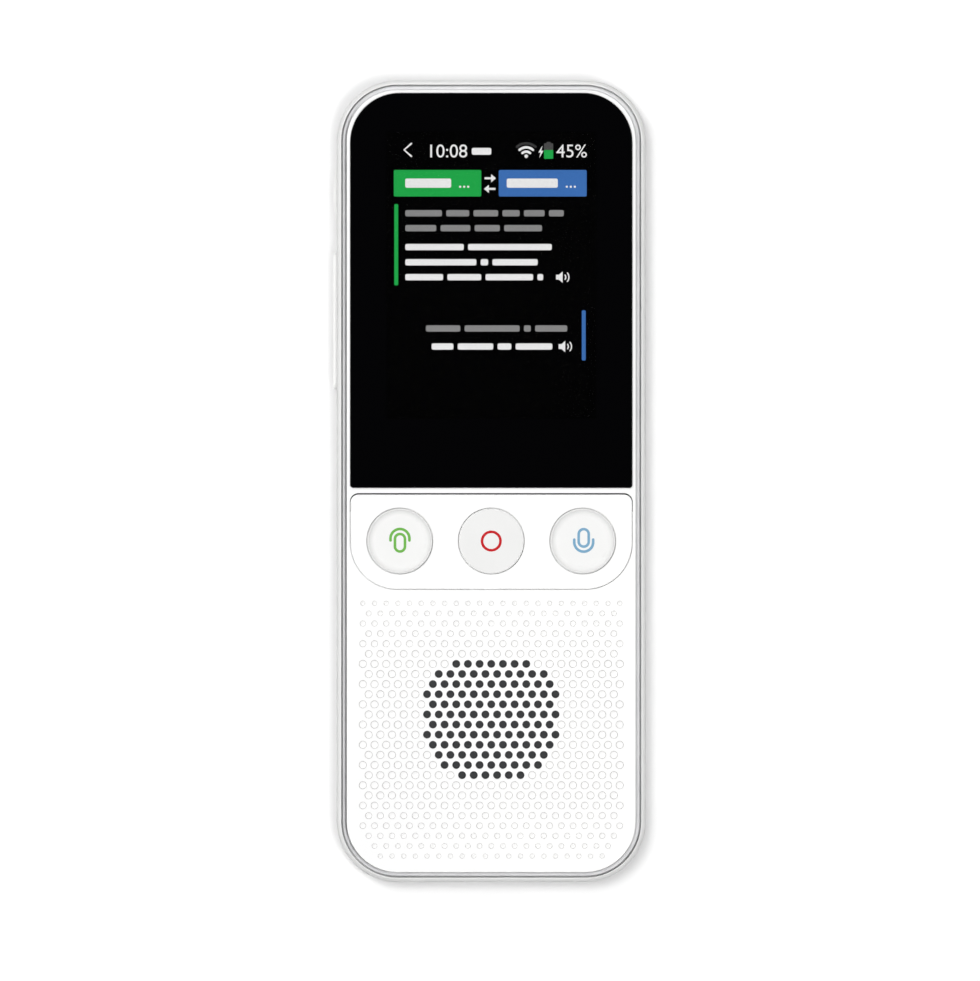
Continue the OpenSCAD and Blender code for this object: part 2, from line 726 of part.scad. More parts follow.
module front_housing() color(white_abs) difference() {
    union() {
        translate([0, 0, plate_z]) linear_extrude(face_z - plate_z)
            body_outline(skirt_inset + skirt_t - lap);
        round_body(0) skirt_profile();
        at_hooks() snap_hook();
        for (spot = all_boss_spots)
            translate([spot[0], spot[1], board_top_z]) cylinder(d = boss_d, h = board_drop + eps);
        translate([0, speaker_y, speaker_z]) cylinder(r = ring_out_r, h = plate_z - speaker_z + eps);
    }
    translate([0, speaker_y, speaker_z - 1]) cylinder(r = ring_in_r, h = plate_z - speaker_z + 1);
    // Recess for the cover glass, and the window under it
    translate([0, 0, glass_seat_z]) linear_extrude(body_t)
        plate_outline(glass_w + 2 * glass_gap, glass_y0 - glass_gap, glass_y1 + glass_gap,
            glass_top_r + glass_gap, glass_bottom_r + glass_gap);
    span([-window_w / 2, window_y0, plate_z - 1], [window_w / 2, window_y1, body_t]);
    // Recess for the key panel, and the wells of the keys
    translate([0, 0, panel_seat_z]) linear_extrude(body_t) panel_recess(0);
    translate([0, 0, skirt_z]) linear_extrude(body_t)
        for (x = key_x) key_well(x);
    for (spot = all_boss_spots)
        translate([spot[0], spot[1], board_top_z - eps])
            cylinder(d = pilot_d, h = screw_len - board_t + pilot_spare + eps);
    blind_dots();
    drilled_dots();
}

// ---------- display ----------

module cover_glass() color(black_glass)
    edged_plate(glass_w, glass_y0, glass_y1, glass_top_r, glass_bottom_r,
        glass_z, body_t, glass_edge_r);

module glass_adhesive() color(film_grey)
    translate([0, 0, glass_seat_z]) linear_extrude(adhesive_t) difference() {
        plate_outline(glass_w, glass_y0, glass_y1, glass_top_r, glass_bottom_r);
        plate_outline(glass_w - 2 * adhesive_w, glass_y0 + adhesive_w, glass_y1 - adhesive_w,
            glass_top_r - adhesive_w, glass_bottom_r);
    }

touch_gap = 0.4;
module touch_sensor() color(film_grey)
    translate([0, 0, glass_z - touch_t]) linear_extrude(touch_t)
        plate_outline(glass_w - 2 * adhesive_w - 2 * touch_gap, glass_y0 + adhesive_w + touch_gap,
            glass_y1 - adhesive_w - touch_gap, glass_top_r - adhesive_w - touch_gap, glass_bottom_r);

// Flat ribbon that leaves a film downwards and lands on the main board
ribbon_t = 0.1;
module board_ribbon(x, w, start_y, drop_y, top_z, end_y) {
    span([x - w / 2, drop_y, top_z - ribbon_t], [x + w / 2, start_y, top_z]);
    span([x - w / 2, drop_y, board_top_z], [x + w / 2, drop_y + ribbon_t, top_z]);
    span([x - w / 2, end_y, board_top_z], [x + w / 2, drop_y + ribbon_t, board_top_z + ribbon_t]);
}

display_ribbon_w = 16;
touch_ribbon_w = 6;
touch_ribbon_x = 15;
display_ribbon_y = tray_y0 - 0.35;
touch_ribbon_y = tray_y0 - 0.7;
connector_y = key_y + key_d / 2 + 5.5;

module touch_ribbon() color(polyimide)
    board_ribbon(touch_ribbon_x, touch_ribbon_w, touch_ribbon_y + 1, touch_ribbon_y,
        glass_z - touch_t, connector_y + 1);

module display_cell() color(black_glass)
    span([-cell_w / 2, cell_y0, cell_z], [cell_w / 2, cell_y1, cell_z + cell_t]);

module backlight_tray() color(steel) difference() {
    span([-tray_w / 2, tray_y0, cell_z - fit_gap - tray_t], [tray_w / 2, tray_y1, cell_z + cell_t * 0.7]);
    span([-tray_w / 2 + tray_wall, tray_y0 + tray_wall, cell_z - fit_gap],
        [tray_w / 2 - tray_wall, tray_y1 - tray_wall, body_t]);
    // Notch in the tray's lower wall for the display ribbon
    span([-display_ribbon_w / 2 - 0.5, tray_y0 - 1, cell_z - fit_gap],
        [display_ribbon_w / 2 + 0.5, tray_y0 + 1, body_t]);
}

module display_ribbon() color(polyimide)
    board_ribbon(0, display_ribbon_w, cell_y0, display_ribbon_y, cell_z + 0.5, connector_y + 1);

// ---------- key panel and face keys ----------

module key_panel() color(white_abs) difference() {
    edged_plate(panel_w, panel_y0, panel_y1, panel_top_r, panel_bottom_r,
        panel_z, panel_top_z, panel_edge_r);
    for (x = key_x)
        translate([x, key_y, panel_z - 1]) cylinder(d = key_d + 2 * key_gap, h = panel_t + 2);
}

// Black tape that holds the key panel. Its head fills the wide gap above the panel.
module panel_tape() color(film_grey)
    translate([0, 0, panel_seat_z]) linear_extrude(panel_tape_t) difference() {
        union() {
            plate_outline(panel_w - 2 * panel_tape_inset, panel_y0 + panel_tape_inset,
                panel_y1 - panel_tape_inset, panel_top_r, panel_bottom_r - panel_tape_inset);
            intersection() {
                panel_recess(fit_gap / 2);
                translate([-body_w / 2, panel_y1 - panel_tape_head]) square([body_w, panel_l]);
            }
        }
        for (x = key_x) key_well(x);
    }

mat_top_z = key_flange_z - 0.35 - mat_pad_h;
key_stem_z = mat_top_z + mat_pad_h + fit_gap;
dish_z = key_top_z - key_dish;
dish_floor_r = key_d / 2 - key_dish_border
    - sqrt(key_dish_r * key_dish_r - (key_dish_r - key_dish) * (key_dish_r - key_dish));

// Round key with a retaining flange, a stem and a tab against turning
module face_key(x, dished) {
    translate([x, key_y, 0]) {
        rotate_extrude() difference() {
            union() {
                intersection() {
                    translate([key_d / 2, 0]) edge_profile(key_d / 2, key_flange_z, key_top_z, 0, key_edge_r);
                    translate([0, key_flange_z]) square([key_d, body_t]);
                }
                translate([0, key_flange_z]) square([key_d / 2 + key_flange_w, key_flange_t]);
                translate([0, key_stem_z]) square([key_stem_d / 2, key_flange_z - key_stem_z + eps]);
            }
            if (dished) {
                translate([0, dish_z]) square([dish_floor_r, key_dish + eps]);
                intersection() {
                    translate([dish_floor_r, dish_z + key_dish_r]) circle(key_dish_r);
                    translate([0, dish_z]) square([key_d / 2, key_dish + eps]);
                }
            }
        }
        translate([-key_tab_w / 2, key_d / 2, key_flange_z])
            cube([key_tab_w, key_flange_w + key_tab_reach, key_flange_t]);
    }
}

module left_key() color(key_white) face_key(key_x[0], true);
module record_key() color(key_white) face_key(key_x[1], false);
module right_key() color(key_white) face_key(key_x[2], true);

mat_w = 2 * key_pitch + key_d + 1.6;
mat_l = 13.6;
mat_pad_d = key_stem_d + 1;
nub_d = 1.8;

// Silicone mat: a rim on the board, a web, and a pad with a nub under each key
module key_mat() color(silicone_grey) {
    translate([0, key_y, mat_top_z - mat_t]) linear_extrude(mat_t) round_rect(mat_w, mat_l, 2);
    translate([0, key_y, board_top_z]) linear_extrude(mat_top_z - mat_t - board_top_z + eps)
        difference() {
            round_rect(mat_w, mat_l, 2);
            round_rect(mat_w - 2 * mat_rim_w, mat_l - 2 * mat_rim_w, 1);
        }
    for (x = key_x) translate([x, key_y, 0]) {
        translate([0, 0, mat_top_z - eps]) cylinder(d = mat_pad_d, h = mat_pad_h + eps);
        translate([0, 0, board_top_z + dome_h + contact_gap])
            cylinder(d = nub_d, h = mat_top_z - mat_t - board_top_z - dome_h - contact_gap + eps);
    }
}

// Snap dome: a shallow pressed cap of spring steel
dome_t = 0.12;
module snap_dome(d) {
    outer = (d * d / 4 + dome_h * dome_h) / (2 * dome_h);
    rotate_extrude() intersection() {
        translate([0, dome_h - outer]) difference() {
            circle(outer, $fn = 360);
            circle(outer - dome_t, $fn = 360);
        }
        square([d, d]);
    }
}

module face_dome(x) color(steel) translate([x, key_y, board_top_z]) snap_dome(dome_d);

module left_dome() face_dome(key_x[0]);
module record_dome() face_dome(key_x[1]);
module right_dome() face_dome(key_x[2]);

// ---------- side keys ----------

// Cap of a side key: a long rounded bar through the wall, with its flange inside
module side_key_bar(y, len, proud, flange_x) {
    translate([-body_w / 2 - proud, y, side_key_z]) rotate([0, 90, 0])
        linear_extrude(flange_x + body_w / 2 + proud + eps) slot_outline(side_key_w, len);
}

module side_key_flange(y, len, flange_x) {
    translate([flange_x, y, side_key_z]) rotate([0, 90, 0])
        linear_extrude(side_flange_t)
            round_rect(side_key_w + 2 * side_flange_w, len + 2 * side_flange_w, side_key_w / 2);
}

power_arc_r = (pow(power_len / 2, 2) + power_proud * power_proud) / (2 * power_proud);

module power_key() color(white_abs) {
    intersection() {
        side_key_bar(power_y, power_len, power_proud, power_flange_x);
        translate([-body_w / 2 - power_proud + power_arc_r, power_y, side_key_z - side_key_w])
            cylinder(r = power_arc_r, h = 2 * side_key_w, $fn = 360);
    }
    side_key_flange(power_y, power_len, power_flange_x);
    translate([power_flange_x + side_flange_t - eps, power_y, side_key_z]) rotate([0, 90, 0])
        cylinder(d = nub_d, h = flex_x - dome_h - contact_gap - power_flange_x - side_flange_t + eps);
}

module volume_rocker() color(white_abs) {
    intersection() {
        side_key_bar(rocker_y, rocker_len, rocker_proud, rocker_flange_x);
        translate([-body_w / 2 - rocker_proud, rocker_y, side_key_z - side_key_w])
            linear_extrude(2 * side_key_w) translate([3, 0]) round_rect(6, rocker_len, rocker_end_r);
    }
    side_key_flange(rocker_y, rocker_len, rocker_flange_x);
    for (s = [-1, 1])
        translate([rocker_flange_x + side_flange_t - eps, rocker_y + s * rocker_switch_x, side_key_z])
            rotate([0, 90, 0])
                cylinder(d = nub_d, h = flex_x - dome_h - contact_gap - rocker_flange_x - side_flange_t + eps);
    // Rounded ridge that the rocker turns on
    translate([rocker_pivot_x, rocker_y, side_key_z - side_key_w / 2]) {
        cylinder(r = rocker_pivot_r, h = side_key_w);
        translate([rocker_flange_x - rocker_pivot_x, -rocker_pivot_r, 0])
            cube([rocker_pivot_x - rocker_flange_x, 2 * rocker_pivot_r, side_key_w]);
    }
}

bracket_top_z = board_top_z - 0.05;
tail_y = (power_y - power_len / 2 + rocker_y + rocker_len / 2) / 2;
tail_w = 3;
tail_len = 2.4;

// Steel plate that backs the side key flex; a notch lets the flex's tail through
module side_key_bracket() color(steel) difference() {
    span([bracket_x, bracket_y0, back_wall], [bracket_x + bracket_t, bracket_y1, bracket_top_z]);
    span([bracket_x - 1, tail_y - tail_w / 2 - 0.4, board_z - flex_t - 0.2],
        [bracket_x + 1, tail_y + tail_w / 2 + 0.4, body_t]);
}

module side_key_flex() color(polyimide) {
    span([flex_x, rocker_y - rocker_len / 2, side_key_z - side_key_w / 2],
        [flex_x + flex_t, power_y + power_len / 2, side_key_z + side_key_w / 2]);
    // Tail that runs in under the edge of the main board
    span([flex_x, tail_y - tail_w / 2, side_key_z],
        [flex_x + flex_t, tail_y + tail_w / 2, board_z]);
    span([flex_x, tail_y - tail_w / 2, board_z - flex_t],
        [bracket_x + bracket_t + tail_len, tail_y + tail_w / 2, board_z]);
}

module side_dome(y) color(steel)
    translate([flex_x, y, side_key_z]) rotate([0, -90, 0]) snap_dome(side_dome_d);

module power_dome() side_dome(power_y);
module volume_up_dome() side_dome(rocker_y + rocker_switch_x);
module volume_down_dome() side_dome(rocker_y - rocker_switch_x);

// ---------- main board ----------

screw_shank_d = pilot_d - 2 * fit_gap;

module main_board() color(board_green) difference() {
    translate([0, 0, board_z]) linear_extrude(board_t)
        plate_outline(board_w, board_y0, board_y1, board_corner_r, 1);
    // Notch for the side keys and their bracket
    span([-body_w, bracket_y0 - 0.5, board_z - 1], [bracket_x + bracket_t + 0.3, bracket_y1 + 0.5, body_t]);
    for (spot = boss_spots)
        translate([spot[0], spot[1], board_z - 1]) cylinder(d = pilot_d + 0.1, h = board_t + 2);
}

// Shield cans as [x, distance from the top end, width, length], and the chips in them,
// with a height as well
shields = [[-1, 25, 28, 22], [2, 52, 30, 18]];
chips = [[-7, 24, 12, 12, 1], [6, 24, 9, 11, 0.9], [-4, 52, 9, 9, 0.9], [9, 52, 6, 6, 0.8]];

module shield_cans() color(steel)
    for (can = shields) translate([can[0], top_y - can[1], board_z - shield_h]) difference() {
        linear_extrude(shield_h) round_rect(can[2], can[3], 1);
        translate([0, 0, shield_wall]) linear_extrude(shield_h)
            round_rect(can[2] - 2 * shield_wall, can[3] - 2 * shield_wall, 0.8);
    }

// Processor, memory, power and radio chips, and a row of capacitors by the key mat
module board_chips() color(chip_black) {
    for (chip = chips)
        translate([chip[0], top_y - chip[1], board_z - chip[4]]) linear_extrude(chip[4])
            square([chip[2], chip[3]], center = true);
    for (i = [0 : 7])
        translate([-14 + 4 * i, board_y0 + 6, board_z - 0.5]) linear_extrude(0.5)
            square([1, 0.5], center = true);
}

// Connectors for the display, the touch film, the flat cable and the battery
module board_connectors() color(chip_black) {
    translate([0, connector_y, board_top_z]) linear_extrude(0.9)
        square([display_ribbon_w + 2, 2], center = true);
    translate([touch_ribbon_x, connector_y, board_top_z]) linear_extrude(0.9)
        square([touch_ribbon_w + 2, 2], center = true);
    translate([link_x, board_y0 + 1.6, board_z - 0.9]) linear_extrude(0.9)
        square([link_w + 1.5, 2], center = true);
    translate([link_x, port_board_y1 - 1.6, board_z - 0.9]) linear_extrude(0.9)
        square([link_w + 1.5, 2], center = true);
    translate([battery_x, battery_y0 - 5, board_z - 1.2]) linear_extrude(1.2)
        square([6, 3], center = true);
}

module board_screws() color(steel)
    for (spot = all_boss_spots) translate([spot[0], spot[1], 0]) {
        translate([0, 0, board_z - screw_head_h]) difference() {
            cylinder(d = screw_head_d, h = screw_head_h);
            translate([0, 0, -eps]) cylinder(d = 1.3, h = 0.5);
        }
        translate([0, 0, board_z - eps]) cylinder(d = screw_shank_d, h = screw_len);
    }

// ---------- battery ----------

module battery_tape() color(film_grey)
    translate([battery_x, (battery_y0 + battery_y1) / 2, back_wall]) linear_extrude(tape_t)
        square([battery_w - 8, battery_l - 8], center = true);

module battery_cell() color(battery_blue)
    translate([battery_x, (battery_y0 + battery_y1) / 2, battery_z]) linear_extrude(battery_t)
        round_rect(battery_w, battery_l, 1.5);

// Short flat lead from the cell's lower end up to its connector
module battery_lead() color(polyimide) {
    span([battery_x - 2, battery_y0 - 5, battery_z + battery_t / 2],
        [battery_x + 2, battery_y0, battery_z + battery_t / 2 + 0.4]);
    span([battery_x - 2, battery_y0 - 5, battery_z + battery_t / 2],
        [battery_x + 2, battery_y0 - 4.6, board_z - 1.2]);
}

// ---------- loudspeaker ----------

frame_t = 0.4;
module speaker_frame() color(steel) translate([0, speaker_y, 0]) rotate_extrude()
    polygon([
        [speaker_d / 2, gasket_z],
        [speaker_d / 2 - gasket_w - 0.4, gasket_z],
        [speaker_d / 2 - gasket_w - 0.4, gasket_z - frame_t],
        [speaker_d / 2 - frame_t, gasket_z - frame_t],
        [speaker_d / 2 - frame_t, speaker_z + 0.9],
        [magnet_d / 2 + 1.5, speaker_z + frame_t],
        [magnet_d / 2 - 1.5, speaker_z + frame_t],
        [magnet_d / 2 - 1.5, speaker_z],
        [magnet_d / 2 + 1.7, speaker_z],
        [speaker_d / 2, speaker_z + 0.7]
    ]);

// Cone with a rolled surround and a domed cap, all one thin pressing
cone_t = 0.25;
surround_r = 0.9;
surround_x = speaker_d / 2 - gasket_w - 0.4 - surround_r;
cap_r = 4.2;
cone_depth = 1;
module speaker_cone() color(chip_black) translate([0, speaker_y, gasket_z - frame_t - cone_t])
    rotate_extrude() {
        intersection() {
            translate([surround_x, 0]) difference() {
                circle(surround_r);
                circle(surround_r - cone_t);
            }
            translate([surround_x - surround_r, 0]) square([2 * surround_r, surround_r]);
        }
        translate([surround_x + surround_r - cone_t, 0])
            square([gasket_w, cone_t]);
        polygon([
            [surround_x - surround_r + cone_t, 0],
            [surround_x - surround_r + cone_t, cone_t],
            [surround_x - surround_r, cone_t],
            [cap_r, cone_t - cone_depth],
            [0, cone_t - cone_depth],
            [0, -cone_depth],
            [cap_r, -cone_depth]
        ]);
        intersection() {
            translate([0, cone_t - cone_depth - cap_r * 1.2 + 0.9]) circle(cap_r * 1.2);
            translate([0, -cone_depth + cone_t / 2]) square([cap_r, cap_r]);
        }
    }

module speaker_magnet() color(chip_black)
    translate([0, speaker_y, magnet_z]) cylinder(d = magnet_d, h = magnet_h);

module speaker_gasket() color(film_grey)
    translate([0, speaker_y, gasket_z]) difference() {
        cylinder(r = speaker_d / 2, h = gasket_t);
        translate([0, 0, -1]) cylinder(r = speaker_d / 2 - gasket_w, h = gasket_t + 2);
    }

module speaker_mesh() color(chip_black)
    translate([0, speaker_y, mesh_z]) cylinder(r = mesh_r, h = mesh_t);

// Two leads from the loudspeaker's frame to pads under the main board's lower edge
lead_d = 0.7;
module speaker_leads() color(chip_black)
    for (s = [-1, 1]) translate([s * 1.6, 0, 0]) {
        translate([0, speaker_y + magnet_d / 2 + 2.5, board_z - lead_d / 2]) rotate([-90, 0, 0])
            cylinder(d = lead_d, h = board_y0 + 2.5 - speaker_y - magnet_d / 2 - 2.5);
        translate([0, speaker_y + magnet_d / 2 + 2.5, board_z - lead_d])
            cylinder(d = lead_d, h = speaker_z - board_z + lead_d + 0.08);
    }

// ---------- charging port ----------

module port_board() color(board_green) difference() {
    translate([0, 0, board_z]) linear_extrude(board_t)
        plate_outline(port_board_w, port_board_y0, port_board_y1, 1, 4);
    for (spot = port_boss_spots)
        translate([spot[0], spot[1], board_z - 1]) cylinder(d = pilot_d + 0.1, h = board_t + 2);
}

// Rolled steel shell of the USB-C receptacle, open at its outer end
module port_shell() color(steel)
    translate([0, port_y0, port_z]) rotate([-90, 0, 0]) difference() {
        linear_extrude(port_l) slot_outline(port_w, port_h);
        translate([0, 0, -1]) linear_extrude(port_l - port_wall + 1)
            slot_outline(port_w - 2 * port_wall, port_h - 2 * port_wall);
    }

tongue_len = 4.45;
tongue_width = 6.69;
module port_tongue() color(chip_black)
    translate([0, port_y0, port_z]) rotate([-90, 0, 0]) {
        translate([0, 0, port_l - port_wall - 1.6]) linear_extrude(1.6)
            slot_outline(port_w - 2 * port_wall - 2 * fit_gap, port_h - 2 * port_wall - 2 * fit_gap);
        translate([0, 0, port_l - port_wall - 1.6 - tongue_len]) linear_extrude(tongue_len + eps)
            square([tongue_width, 0.7], center = true);
    }

// Flat cable that passes under the loudspeaker's ring from one board to the other
module board_link() color(polyimide)
    span([link_x - link_w / 2, port_board_y1 - 0.6, board_z - 0.15],
        [link_x + link_w / 2, board_y0 + 0.6, board_z]);

// ---------- microphones ----------

mic_size = [3.5, 2.65, 1];
boot_wall = 0.6;
boot_h = mic_size[2] + 1.7;
mic_z = board_z - mic_size[2] - 0.6;

// Both microphones sit under their boards; the children are drawn for the top end
module at_mics() {
    for (s = [1, -1]) translate([s * mic_x, 0, 0]) mirror([0, s < 0 ? 1 : 0, 0])
        translate([0, top_y - side_wall, 0]) children();
}

module microphones() color(steel) at_mics()
    translate([0, -2.3 - mic_size[1] / 2, board_z - mic_size[2]]) linear_extrude(mic_size[2])
        square([mic_size[0], mic_size[1]], center = true);

// Rubber boot that seals the sound channel from the wall to the microphone
module mic_boots() color(chip_black) at_mics() difference() {
    span([-mic_size[0] / 2 - boot_wall, -2.3 - mic_size[1] - boot_wall, board_z - boot_h],
        [mic_size[0] / 2 + boot_wall, -fit_gap, board_z - fit_gap]);
    span([-mic_size[0] / 2 - fit_gap, -2.3 - mic_size[1] - fit_gap, board_z - mic_size[2] - fit_gap],
        [mic_size[0] / 2 + fit_gap, -2.3 + fit_gap, board_z + 1]);
    translate([0, -2.3 - 1, mic_z]) rotate([-90, 0, 0]) cylinder(d = mic_hole_d * 0.8, h = 4);
}

// ---------- antenna ----------

antenna_w = 22;
antenna_l = 7;
antenna_t = 0.2;
antenna_side = 8; // from the inner side wall
antenna_top = 4;  // from the inner end wall
module wifi_antenna() color(brass_gold)
    translate([inner_x - antenna_side - antenna_w, top_y - side_wall - antenna_top - antenna_l, back_wall])
        cube([antenna_w, antenna_l, antenna_t]);

rear_housing();
trim_frame();
front_housing();
cover_glass();
glass_adhesive();
touch_sensor();
touch_ribbon();
display_cell();
backlight_tray();
display_ribbon();
key_panel();
panel_tape();
left_key();
record_key();
right_key();
key_mat();
left_dome();
record_dome();
right_dome();
power_key();
volume_rocker();
side_key_bracket();
side_key_flex();
power_dome();
volume_up_dome();
volume_down_dome();
main_board();
board_chips();
shield_cans();
board_connectors();
board_screws();
battery_cell();
battery_tape();
battery_lead();
speaker_frame();
speaker_cone();
speaker_magnet();
speaker_gasket();
speaker_mesh();
speaker_leads();
port_board();
port_shell();
port_tongue();
board_link();
microphones();
mic_boots();
wifi_antenna();
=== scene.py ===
import math

import bmesh
import bpy
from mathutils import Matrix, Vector


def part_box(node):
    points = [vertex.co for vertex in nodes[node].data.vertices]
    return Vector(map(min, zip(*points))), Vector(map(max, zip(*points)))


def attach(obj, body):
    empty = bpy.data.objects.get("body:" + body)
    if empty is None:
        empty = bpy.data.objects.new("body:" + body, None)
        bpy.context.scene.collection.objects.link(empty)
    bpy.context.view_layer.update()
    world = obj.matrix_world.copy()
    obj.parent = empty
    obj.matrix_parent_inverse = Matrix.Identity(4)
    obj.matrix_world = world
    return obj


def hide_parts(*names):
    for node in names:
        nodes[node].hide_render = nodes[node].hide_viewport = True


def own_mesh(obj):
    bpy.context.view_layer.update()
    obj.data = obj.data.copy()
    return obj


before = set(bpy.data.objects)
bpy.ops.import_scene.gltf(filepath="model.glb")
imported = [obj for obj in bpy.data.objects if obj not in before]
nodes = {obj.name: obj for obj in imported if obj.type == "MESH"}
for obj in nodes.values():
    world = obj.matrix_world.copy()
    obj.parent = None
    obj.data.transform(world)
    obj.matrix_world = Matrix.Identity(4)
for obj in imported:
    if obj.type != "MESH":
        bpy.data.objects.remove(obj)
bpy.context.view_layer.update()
MM = 0.001

# ---------- Camera ----------
# A long lens looks straight down on the face from over a metre away, so that the sides of
# the body stay almost hidden. The body stands a little above the middle of the picture.
glass_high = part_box("cover_glass")[1]
body_low, body_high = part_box("rear_housing")
into_scene = bpy.context.scene.collection.objects.link
FRAME_SIDE = 171.0 * MM        # what the picture takes in at the height of the face
CAMERA_HEIGHT = 1300 * MM      # above the face
BODY_ABOVE_MIDDLE = 1.64 * MM
BODY_RIGHT_OF_MIDDLE = 0.22 * MM
camera = bpy.data.objects.new("camera", bpy.data.cameras.new("camera"))
camera.data.sensor_width = 36
camera.data.lens = camera.data.sensor_width * CAMERA_HEIGHT / FRAME_SIDE
camera.location = (-BODY_RIGHT_OF_MIDDLE, -BODY_ABOVE_MIDDLE, glass_high.z + CAMERA_HEIGHT)
camera.data.clip_start = 0.01
camera.data.clip_end = 20
into_scene(camera)
bpy.context.scene.camera = camera
bpy.context.scene.view_settings.view_transform = "Standard"


# ---------- Studio ----------
# A white sweep under two overhead silks, with a weak soft box low on the upper left for the
# edges. The ceiling round the camera is dark to a mirror, so that the cover glass stays black.
def linear(hexcode):
    """An sRGB hex colour as the linear RGBA that the shaders want."""
    parts = [int(hexcode[i:i + 2], 16) / 255 for i in (1, 3, 5)]
    return [c / 12.92 if c <= 0.04045 else ((c + 0.055) / 1.055) ** 2.4 for c in parts] + [1.0]


def add(tree, kind, settings, inputs):
    """Adds a shader node, sets its properties, and fills its inputs with values, or with
    outputs to link."""
    node = tree.nodes.new("ShaderNode" + kind)
    for name, value in settings.items():
        setattr(node, name, value)
    for name, value in inputs.items():
        socket = node.inputs[name]
        if isinstance(value, bpy.types.NodeSocket):
            tree.links.new(value, socket)
        else:
            socket.default_value = value
    return node


def soft_box(name, direction, distance, size, watts, mirrored=True):
    """A square lamp that faces the middle of the body and that no camera ray meets."""
    lamp = bpy.data.lights.new(name, "AREA")
    lamp.size = size
    lamp.energy = watts
    holder = bpy.data.objects.new(name, lamp)
    towards = Vector(direction).normalized()
    holder.location = towards * distance
    holder.rotation_euler = towards.to_track_quat("Z", "Y").to_euler()
    holder.visible_camera = False
    holder.visible_glossy = mirrored
    holder.visible_transmission = False
    into_scene(holder)


# Both silks hang almost overhead, a little to either side, so the shadow is narrow all round
soft_box("key_silk", (-0.10, 0.09, 1.0), distance=1.1, size=0.22, watts=4.75, mirrored=False)
soft_box("fill_silk", (0.12, -0.11, 1.0), distance=1.0, size=0.18, watts=3.3, mirrored=False)
soft_box("edge_soft_box", (-0.9, 0.9, 1.0), distance=1.2, size=0.30, watts=2.2)

scene_world = bpy.data.worlds.new("studio")
bpy.context.scene.world = scene_world
scene_world.use_nodes = True
sky = scene_world.node_tree
sky.nodes.clear()
ray = add(sky, "LightPath", {}, {})
where = add(sky, "TexCoord", {}, {})
heading = add(sky, "SeparateXYZ", {}, {"Vector": where.outputs["Generated"]})
# Z is 1 straight up: the dark flag is full within 19 degrees of the camera and ends at 31
FLAG_ENDS, FLAG_FULL = 0.86, 0.945
flag = add(sky, "ValToRGB", {}, {"Fac": heading.outputs["Z"]})
flag.color_ramp.elements[0].position = FLAG_ENDS
flag.color_ramp.elements[0].color = linear("#f4f4f4")
flag.color_ramp.elements[1].position = FLAG_FULL
flag.color_ramp.elements[1].color = linear("#1c1c1e")
# The studio is dimmer on the left and brighter behind the top end, which shades the trim
dimmer = add(sky, "MapRange", {}, {"Value": heading.outputs["X"], "From Min": -0.9,
                                   "From Max": -0.1, "To Min": 0.25, "To Max": 0.9})
brighter = add(sky, "MapRange", {}, {"Value": heading.outputs["Y"], "From Min": 0.3,
                                     "From Max": 0.9, "To Min": 0.0, "To Max": 0.45})
level = add(sky, "Math", {"operation": "ADD"},
            {0: dimmer.outputs["Result"], 1: brighter.outputs["Result"]})
ROOM_LEVEL, BACKDROP_LEVEL = 0.275, 1.0
room = add(sky, "Background", {}, {"Color": linear("#ffffff"), "Strength": ROOM_LEVEL})
mirrored = add(sky, "Background", {}, {"Color": flag.outputs["Color"],
                                       "Strength": level.outputs[0]})
backdrop = add(sky, "Background", {}, {"Color": linear("#ffffff"), "Strength": BACKDROP_LEVEL})
by_mirror = add(sky, "Math", {"operation": "MAXIMUM"},
                {0: ray.outputs["Is Glossy Ray"], 1: ray.outputs["Is Transmission Ray"]})
room_or_mirrored = add(sky, "MixShader", {}, {0: by_mirror.outputs[0],
                                              1: room.outputs[0], 2: mirrored.outputs[0]})
all_rays = add(sky, "MixShader", {}, {0: ray.outputs["Is Camera Ray"],
                                      1: room_or_mirrored.outputs[0], 2: backdrop.outputs[0]})
add(sky, "OutputWorld", {}, {"Surface": all_rays.outputs[0]})

# The sweep keeps the body's shadow and is otherwise as white as the backdrop. It throws
# back less light than the camera sees on it, as the grey floor of a studio does.
SWEEP_HALF, SWEEP_DROP = 4.0, 0.02 * MM
sweep_mesh = bpy.data.meshes.new("sweep")
corners = [(-SWEEP_HALF, -SWEEP_HALF), (SWEEP_HALF, -SWEEP_HALF),
           (SWEEP_HALF, SWEEP_HALF), (-SWEEP_HALF, SWEEP_HALF)]
sweep_mesh.from_pydata([(x, y, body_low.z - SWEEP_DROP) for x, y in corners], [], [(0, 1, 2, 3)])
sweep = bpy.data.objects.new("sweep", sweep_mesh)
into_scene(sweep)


def blank(name):
    """A new material with an empty node tree."""
    made = bpy.data.materials.new(name)
    made.use_nodes = True
    made.node_tree.nodes.clear()
    return made, made.node_tree


paper, tree = blank("white_sweep_paper")
ray = add(tree, "LightPath", {}, {})
seen = add(tree, "Math", {"operation": "MAXIMUM"},
           {0: ray.outputs["Is Camera Ray"], 1: ray.outputs["Is Glossy Ray"]})
seen_any = add(tree, "Math", {"operation": "MAXIMUM"},
               {0: seen.outputs[0], 1: ray.outputs["Is Transmission Ray"]})
